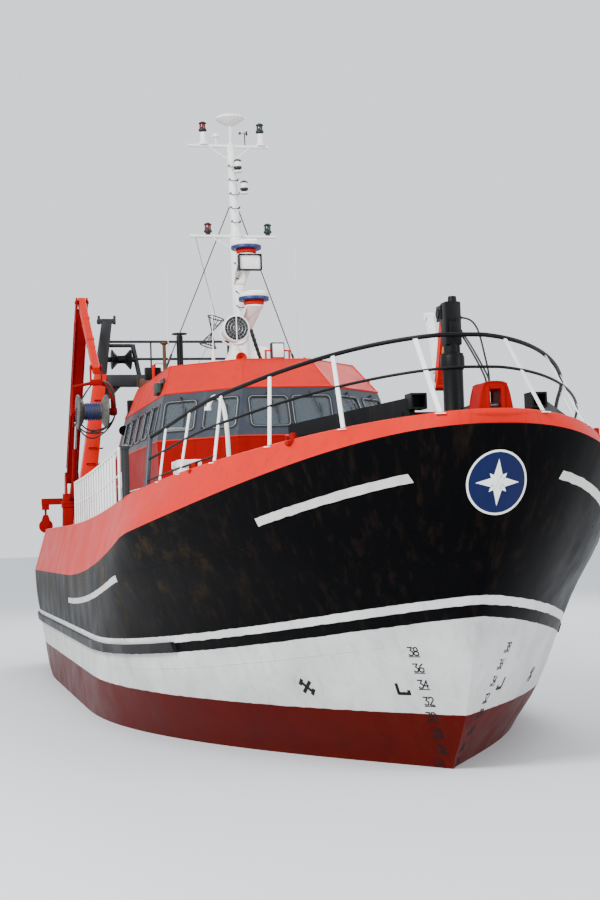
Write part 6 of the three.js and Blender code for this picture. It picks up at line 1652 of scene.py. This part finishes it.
class TRAWLER_OT_stern_gear(bpy.types.Operator):
    """Models the propeller, its nozzle, the rudder and the rubbing strake"""

    bl_idname = "trawler.stern_gear"
    bl_label = "Stern gear"

    def execute(self, context):
        paint_nodes(sole_piece="antifouling", rubbing_strake="black_enamel")
        shaft = Vector((-10.8, 0, SHAFT_LINE))
        screw = bmesh.new()
        turned(screw, [(0, -0.3996), (0.07, -0.3996), (0.07, -0.16), (0.13, -0.15), (0.148, -0.08), (0.15, 0.0),
                       (0.142, 0.1), (0.11, 0.17), (0.06, 0.225), (0, 0.24)], shaft, -AHEAD, 40)
        for blade in range(4):
            turn = Matrix.Rotation(blade * math.tau / 4, 3, "X")
            rings = []
            for share in (0.0, 0.2, 0.4, 0.6, 0.8, 0.93, 1.0):
                radius = 0.1 + 0.63 * share
                chord = 0.13 + 0.26 * math.sin(math.pi * min(share * 0.85 + 0.12, 1.0)) * (1 if share < 0.9 else 0.6)
                pitch = math.atan2(0.75, math.tau * radius)
                thick = 0.024 * (1 - share) + 0.006
                ring = []
                for k in range(16):
                    angle = math.tau * k / 16
                    u, w = chord / 2 * math.cos(angle), thick * math.sin(angle)
                    twist = u * math.cos(pitch) / radius
                    ring.append(shaft + turn @ Vector((
                        u * math.sin(pitch) + w * math.cos(pitch), radius * math.sin(twist) - w * math.sin(pitch),
                        radius * math.cos(twist))))
                rings.append(ring)
            loft(screw, rings)
        finish(screw, "propeller_screw", "cast_bronze", body="propeller", stands_for=["propeller"])
        nozzle = bmesh.new()
        turned(nozzle, [(0.81, -0.4), (0.85, -0.415), (0.9, -0.4), (0.898, -0.1), (0.875, 0.35), (0.83, 0.36),
                        (0.79, 0.35), (0.792, 0.0), (0.81, -0.4)], shaft, -AHEAD, 64)
        block(nozzle, (-11.05, -0.09, -1.24), (-10.45, 0.09, -0.62), 0.01)
        finish(nozzle, "nozzle_ring", "antifouling", stands_for=["propeller_nozzle"])
        rudder = bmesh.new()
        rings = []
        for z, fore, aft in (
                (-2.96, -11.42, -12.33), (-2.9, -11.40, -12.34), (-1.2, -11.44, -12.25), (-1.15, -11.46, -12.24)):
            ring = []
            for k in range(28):
                t = k / 14 if k <= 14 else (28 - k) / 14
                x = fore + (aft - fore) * t
                half = 0.075 * (1.7 * math.sqrt(t) - 0.3 * t - 1.4 * t ** 2) / 0.63 if 0 < t < 1 else 0.004 * (t == 1)
                ring.append(Vector((x, half if k <= 14 else -half, z)))
            rings.append(ring)
        loft(rudder, rings)
        rod(rudder, (RUDDER_STOCK, 0, -3.06), (RUDDER_STOCK, 0, -0.9604), 0.084, sides=32)
        finish(rudder, "rudder_blade", "antifouling", body="rudder", stands_for=["rudder"])
        return {"FINISHED"}


# Decks, and the marks painted on the bow
DISC = Vector((12.9, 0.03, 3.55))
DISC_RADIUS = 0.375
# strokes of each numeral, in shares of its height
NUMERALS = {
    "0": [(0.14, 0), (0, 0.15), (0, 0.85), (0.14, 1), (0.46, 1), (0.6, 0.85), (0.6, 0.15), (0.46, 0), (0.14, 0)],
    "2": [(0, 0.85), (0.1, 1), (0.5, 1), (0.6, 0.85), (0.6, 0.65), (0, 0), (0.6, 0)],
    "3": [(0, 1), (0.6, 1), (0.3, 0.6), (0.6, 0.45), (0.6, 0.12), (0.45, 0), (0.1, 0), (0, 0.12)],
    "4": [(0.45, 0), (0.45, 1), (0, 0.3), (0.6, 0.3)],
    "6": [(0.55, 1), (0.2, 0.75), (0, 0.35), (0, 0.12), (0.12, 0), (0.48, 0), (0.6, 0.12), (0.6, 0.38), (0.48, 0.5),
          (0.12, 0.5), (0, 0.38)],
    "8": [(0.3, 0.52), (0.05, 0.62), (0.05, 0.9), (0.18, 1), (0.42, 1), (0.55, 0.9), (0.55, 0.62), (0.3, 0.52),
          (0, 0.38), (0, 0.12), (0.14, 0), (0.46, 0), (0.6, 0.12), (0.6, 0.38), (0.3, 0.52)],
}
UNDERLINE = [(-0.75, -0.18), (0.75, -0.18)]
NUMERAL_HEIGHT = 0.1
# draught in decimetres and the place of its mark on the starboard bow
DRAUGHTS = [
    ("38", (11.16, 0.61, 1.49)), ("36", (11.10, 0.53, 1.28)), ("34", (11.03, 0.45, 1.07)),
    ("32", (10.96, 0.36, 0.85)), ("30", (10.87, 0.30, 0.65)), ("28", (10.78, 0.20, 0.43)),
    ("26", (10.69, 0.13, 0.22)), ("24", (10.53, 0.10, 0.01)),
]
BULB_MARK = [(-0.8, 1.1), (-0.8, -0.1), (0.75, -0.1), (0.75, 0.25)]
SCREW_MARK = [
    [(-0.8, -0.7), (0.8, 0.7)], [(-0.8, 0.7), (0.8, -0.7)], [(-1.0, 0.35), (-0.5, 0.95)],
    [(1.0, -0.35), (0.5, -0.95)],
]
# x of the weld beads' ends, and how far under the stripe each bead runs
BEAD_ENDS = (10.9, -12.0)
BEAD_DROPS = (0.46, -0.95)
BEAD_STEPS = 47


def hull_tree():
    """The hull's plating, ready for nearest-place questions."""
    return BVHTree.FromObject(bpy.data.objects["hull_plating"], bpy.context.evaluated_depsgraph_get())


def stroke(bm, tree, place, points, size, width):
    """Draws a run of strokes on the hull's side, upright, its points in shares of the size round a place."""
    _, facing, *_ = tree.find_nearest(Vector(place))
    facing = Vector((facing.x, facing.y, 0)).normalized()
    right = UP.cross(facing)
    spots = []
    for u, v in points:
        start = Vector(place) + (right * u + UP * v) * size + facing
        spot, normal, *_ = tree.ray_cast(start, -facing)
        spots.append((spot + normal * 0.0015, normal))
    for (a, normal), (b, _) in zip(spots, spots[1:]):
        way = (b - a).normalized() * width * 0.3
        flat(bm, a - way, b + way, normal.cross(b - a), width, 0.003)


class TRAWLER_OT_decks(bpy.types.Operator):
    """Lays the decks inside the bulwark, with their plate seams"""

    bl_idname = "trawler.decks"
    bl_label = "Decks"

    def execute(self, context):
        bm = bmesh.new()
        deck_grid(bm, "knuckle", 0.004, BULWARK_PLATE + 0.004)
        bmesh.ops.remove_doubles(bm, verts=bm.verts[:], dist=1e-4)
        bmesh.ops.recalc_face_normals(bm, faces=bm.faces[:])
        bmesh.ops.solidify(bm, geom=bm.faces[:], thickness=0.006)
        finish(bm, "deck_covering", "green_deck_paint")
        seams = bmesh.new()
        for k in range(16):
            x = -11.8 + 1.5 * k
            reach = half_breadth("knuckle", x) - BULWARK_PLATE - 0.02
            rod(seams, (x, -reach, sheer(x) + 0.007), (x, reach, sheer(x) + 0.007), 0.007, sides=6)
        for y in (-2.4, -1.2, 0, 1.2, 2.4):
            run = [(x, y, sheer(x) + 0.007) for x in (-12.2 + 0.8 * k for k in range(31))
                   if half_breadth("knuckle", x) > abs(y) + 0.15]
            pipe(seams, run, 0.006, sides=1, smooth=False)
        finish(seams, "deck_weld_seams", "green_deck_paint", crease=80)
        return {"FINISHED"}


class TRAWLER_OT_bow_marks(bpy.types.Operator):
    """Paints the compass disc, the draught marks and the thruster and bulb marks on the bow"""

    bl_idname = "trawler.bow_marks"
    bl_label = "Bow marks"

    def execute(self, context):
        tree = hull_tree()

        def lay(bm, out):
            """Presses a flat shape aft onto the stem."""
            for vert in bm.verts:
                spot, normal, *_ = tree.ray_cast(Vector((14.0, vert.co.y, vert.co.z)), -AHEAD)
                vert.co = spot + normal * out
            bmesh.ops.recalc_face_normals(bm, faces=bm.faces[:])
            bmesh.ops.solidify(bm, geom=bm.faces[:], thickness=0.002)

        disc, ring, star = bmesh.new(), bmesh.new(), bmesh.new()
        for vert in bmesh.ops.create_grid(disc, x_segments=24, y_segments=24, size=1.0)["verts"]:
            a, b = vert.co.x, vert.co.y
            out = Vector((0, a * math.sqrt(1 - b * b / 2), b * math.sqrt(1 - a * a / 2)))
            vert.co = DISC + out * (DISC_RADIUS - 0.01)
        lay(disc, 0.003)
        finish(disc, "bow_disc", "disc_blue_enamel", crease=60)
        loft(ring, [[DISC + way * radius for way in spokes(72, PORT, UP)]
                    for radius in (DISC_RADIUS - 0.024, DISC_RADIUS)], cap=False)
        lay(ring, 0.008)
        for k, way in enumerate(spokes(8, UP, PORT)):
            reach, half = (0.15, 0.035) if k % 2 else (0.27, 0.055)
            wing = way.cross(AHEAD) * half
            left, tip, right = DISC + way * 0.075 + wing, DISC + way * reach, DISC + way * 0.075 - wing
            for vert in bmesh.ops.create_grid(star, x_segments=8, y_segments=8, size=0.5)["verts"]:
                s, t = vert.co.x + 0.5, vert.co.y + 0.5
                vert.co = DISC.lerp(left, s).lerp(right.lerp(tip, s), t)
        lay(star, 0.008)
        finish(ring, "bow_disc_ring", "white_enamel", crease=60)
        finish(star, "bow_disc_star", "white_enamel", crease=60)
        marks = bmesh.new()
        for side in SIDES.values():
            for number, (x, y, z) in DRAUGHTS:
                for k, numeral in enumerate(number):
                    run = [(u + 0.75 * k - 0.68, v) for u, v in NUMERALS[numeral]]
                    stroke(marks, tree, (x, side * y, z), run, NUMERAL_HEIGHT, 0.016)
                stroke(marks, tree, (x, side * y, z), UNDERLINE, NUMERAL_HEIGHT, 0.012)
            bulb = [(-side * u, v) for u, v in BULB_MARK]
            stroke(marks, tree, (10.8, side * 0.66, 1.0), bulb, 0.1, 0.045)
            for run in SCREW_MARK:
                stroke(marks, tree, (9.53, side * 1.56, 1.02), run, 0.1, 0.05)
        finish(marks, "bow_draught_marks", "black_enamel")
        beads = bmesh.new()
        stripe = context.scene.trawler_hull.stripe_height
        for drop in BEAD_DROPS:
            for side in SIDES.values():
                run = []
                for k in range(BEAD_STEPS + 1):
                    x = BEAD_ENDS[0] + (BEAD_ENDS[1] - BEAD_ENDS[0]) * k / BEAD_STEPS
                    z = stripe + STRIPE_GAIN * max(x - STRIPE_START, 0) ** 2 - drop
                    spot, _, *_ = tree.ray_cast(Vector((x, side * 6, z)), PORT * -side)
                    if spot:
                        run.append(spot)
                pipe(beads, run, 0.007, sides=1, smooth=False)
        finish(beads, "hull_weld_beads", "topsides_paint", crease=80)
        return {"FINISHED"}


class TRAWLER_OT_stage(bpy.types.Operator):
    """Sets up the floor at the waterline, the lights and the photograph's camera"""

    bl_idname = "trawler.stage"
    bl_label = "Stage"

    def execute(self, context):
        floor = bmesh.new()
        bmesh.ops.create_grid(floor, x_segments=1, y_segments=1, size=400.0)
        mesh = bpy.data.meshes.new("floor")
        floor.to_mesh(mesh)
        floor.free()
        ground = bpy.data.objects.new("floor", mesh)
        made, tree, shader, _ = start_material("studio_floor")
        plug(tree, shader, {"Base Color": linear("D2D5D8"), "Roughness": 0.6})
        mesh.materials.append(made)
        camera = bpy.data.cameras.new("photo_camera")
        camera.lens = PHOTO_LENS
        camera.clip_end = 2000.0
        viewer = bpy.data.objects.new("photo_camera", camera)
        yaw, pitch, roll = (math.radians(a) for a in PHOTO_TURN)
        ahead = Vector((-math.cos(yaw) * math.cos(pitch), math.sin(yaw) * math.cos(pitch), math.sin(pitch)))
        right = ahead.cross(UP).normalized()
        top = right.cross(ahead)
        level, rise = right * math.cos(roll) + top * math.sin(roll), top * math.cos(roll) - right * math.sin(roll)
        viewer.matrix_world = Matrix.Translation(PHOTO_PLACE) @ Matrix((level, rise, -ahead)).transposed().to_4x4()
        lights = []
        for name, place, size, power in STUDIO_LIGHTS:
            lamp = bpy.data.lights.new(name, "AREA")
            lamp.shape = "DISK"
            lamp.size = size
            lamp.energy = power
            held = bpy.data.objects.new(name, lamp)
            held.matrix_world = Matrix.Translation(place) @ (
                Vector(place) - UP * 3).to_track_quat("Z", "Y").to_matrix().to_4x4()
            lights.append(held)
        for item in (ground, viewer, *lights):
            context.scene.collection.objects.link(item)
        context.scene.camera = viewer
        world = bpy.data.worlds.new("studio")
        world.use_nodes = True
        plug(world.node_tree, world.node_tree.nodes["Background"], {"Color": linear("E9EDF2"), "Strength": 1.5})
        context.scene.world = world
        return {"FINISHED"}


PHOTO_PLACE = (29.4554, -6.5395, 2.9841)
PHOTO_TURN = (14.0196, 3.2333, -1.8716)
PHOTO_LENS = 61.95
# name, place, size, power
STUDIO_LIGHTS = [
    ("key_light", (26.0, -26.0, 26.0), 16.0, 24000.0),
    ("fill_light", (30.0, 24.0, 14.0), 20.0, 6000.0),
    ("back_light", (-30.0, 10.0, 24.0), 18.0, 7000.0),
]

OPERATORS = (
    TRAWLER_OT_hull, TRAWLER_OT_bulwark, TRAWLER_OT_decks, TRAWLER_OT_wheelhouse, TRAWLER_OT_rails, TRAWLER_OT_mast,
    TRAWLER_OT_roof_gear, TRAWLER_OT_foredeck, TRAWLER_OT_gantry, TRAWLER_OT_deck_crane, TRAWLER_OT_after_deck,
    TRAWLER_OT_stern_gear, TRAWLER_OT_bow_marks, TRAWLER_OT_stage)


class TRAWLER_PT_build(bpy.types.Panel):
    """Lists the operators that model the trawler"""

    bl_label = "Trawler"
    bl_idname = "TRAWLER_PT_build"
    bl_space_type = "VIEW_3D"
    bl_region_type = "UI"
    bl_category = "Trawler"

    def draw(self, context):
        for operator in OPERATORS:
            self.layout.operator(operator.bl_idname)
        for settings in SETTINGS:
            held = getattr(context.scene, SETTINGS[settings])
            for key in settings.__annotations__:
                self.layout.prop(held, key)


SETTINGS = {TrawlerHullSettings: "trawler_hull", TrawlerPaintSettings: "trawler_paint"}
CLASSES = (*SETTINGS, *OPERATORS, TRAWLER_PT_build)


def register():
    for kind in CLASSES:
        bpy.utils.register_class(kind)
    for settings, place in SETTINGS.items():
        setattr(bpy.types.Scene, place, PointerProperty(type=settings))


def unregister():
    for place in SETTINGS.values():
        delattr(bpy.types.Scene, place)
    for kind in reversed(CLASSES):
        bpy.utils.unregister_class(kind)


def main():
    register()
    for operator in OPERATORS:
        family, name = operator.bl_idname.split(".")
        getattr(getattr(bpy.ops, family), name)()


if __name__ == "__main__":
    main()
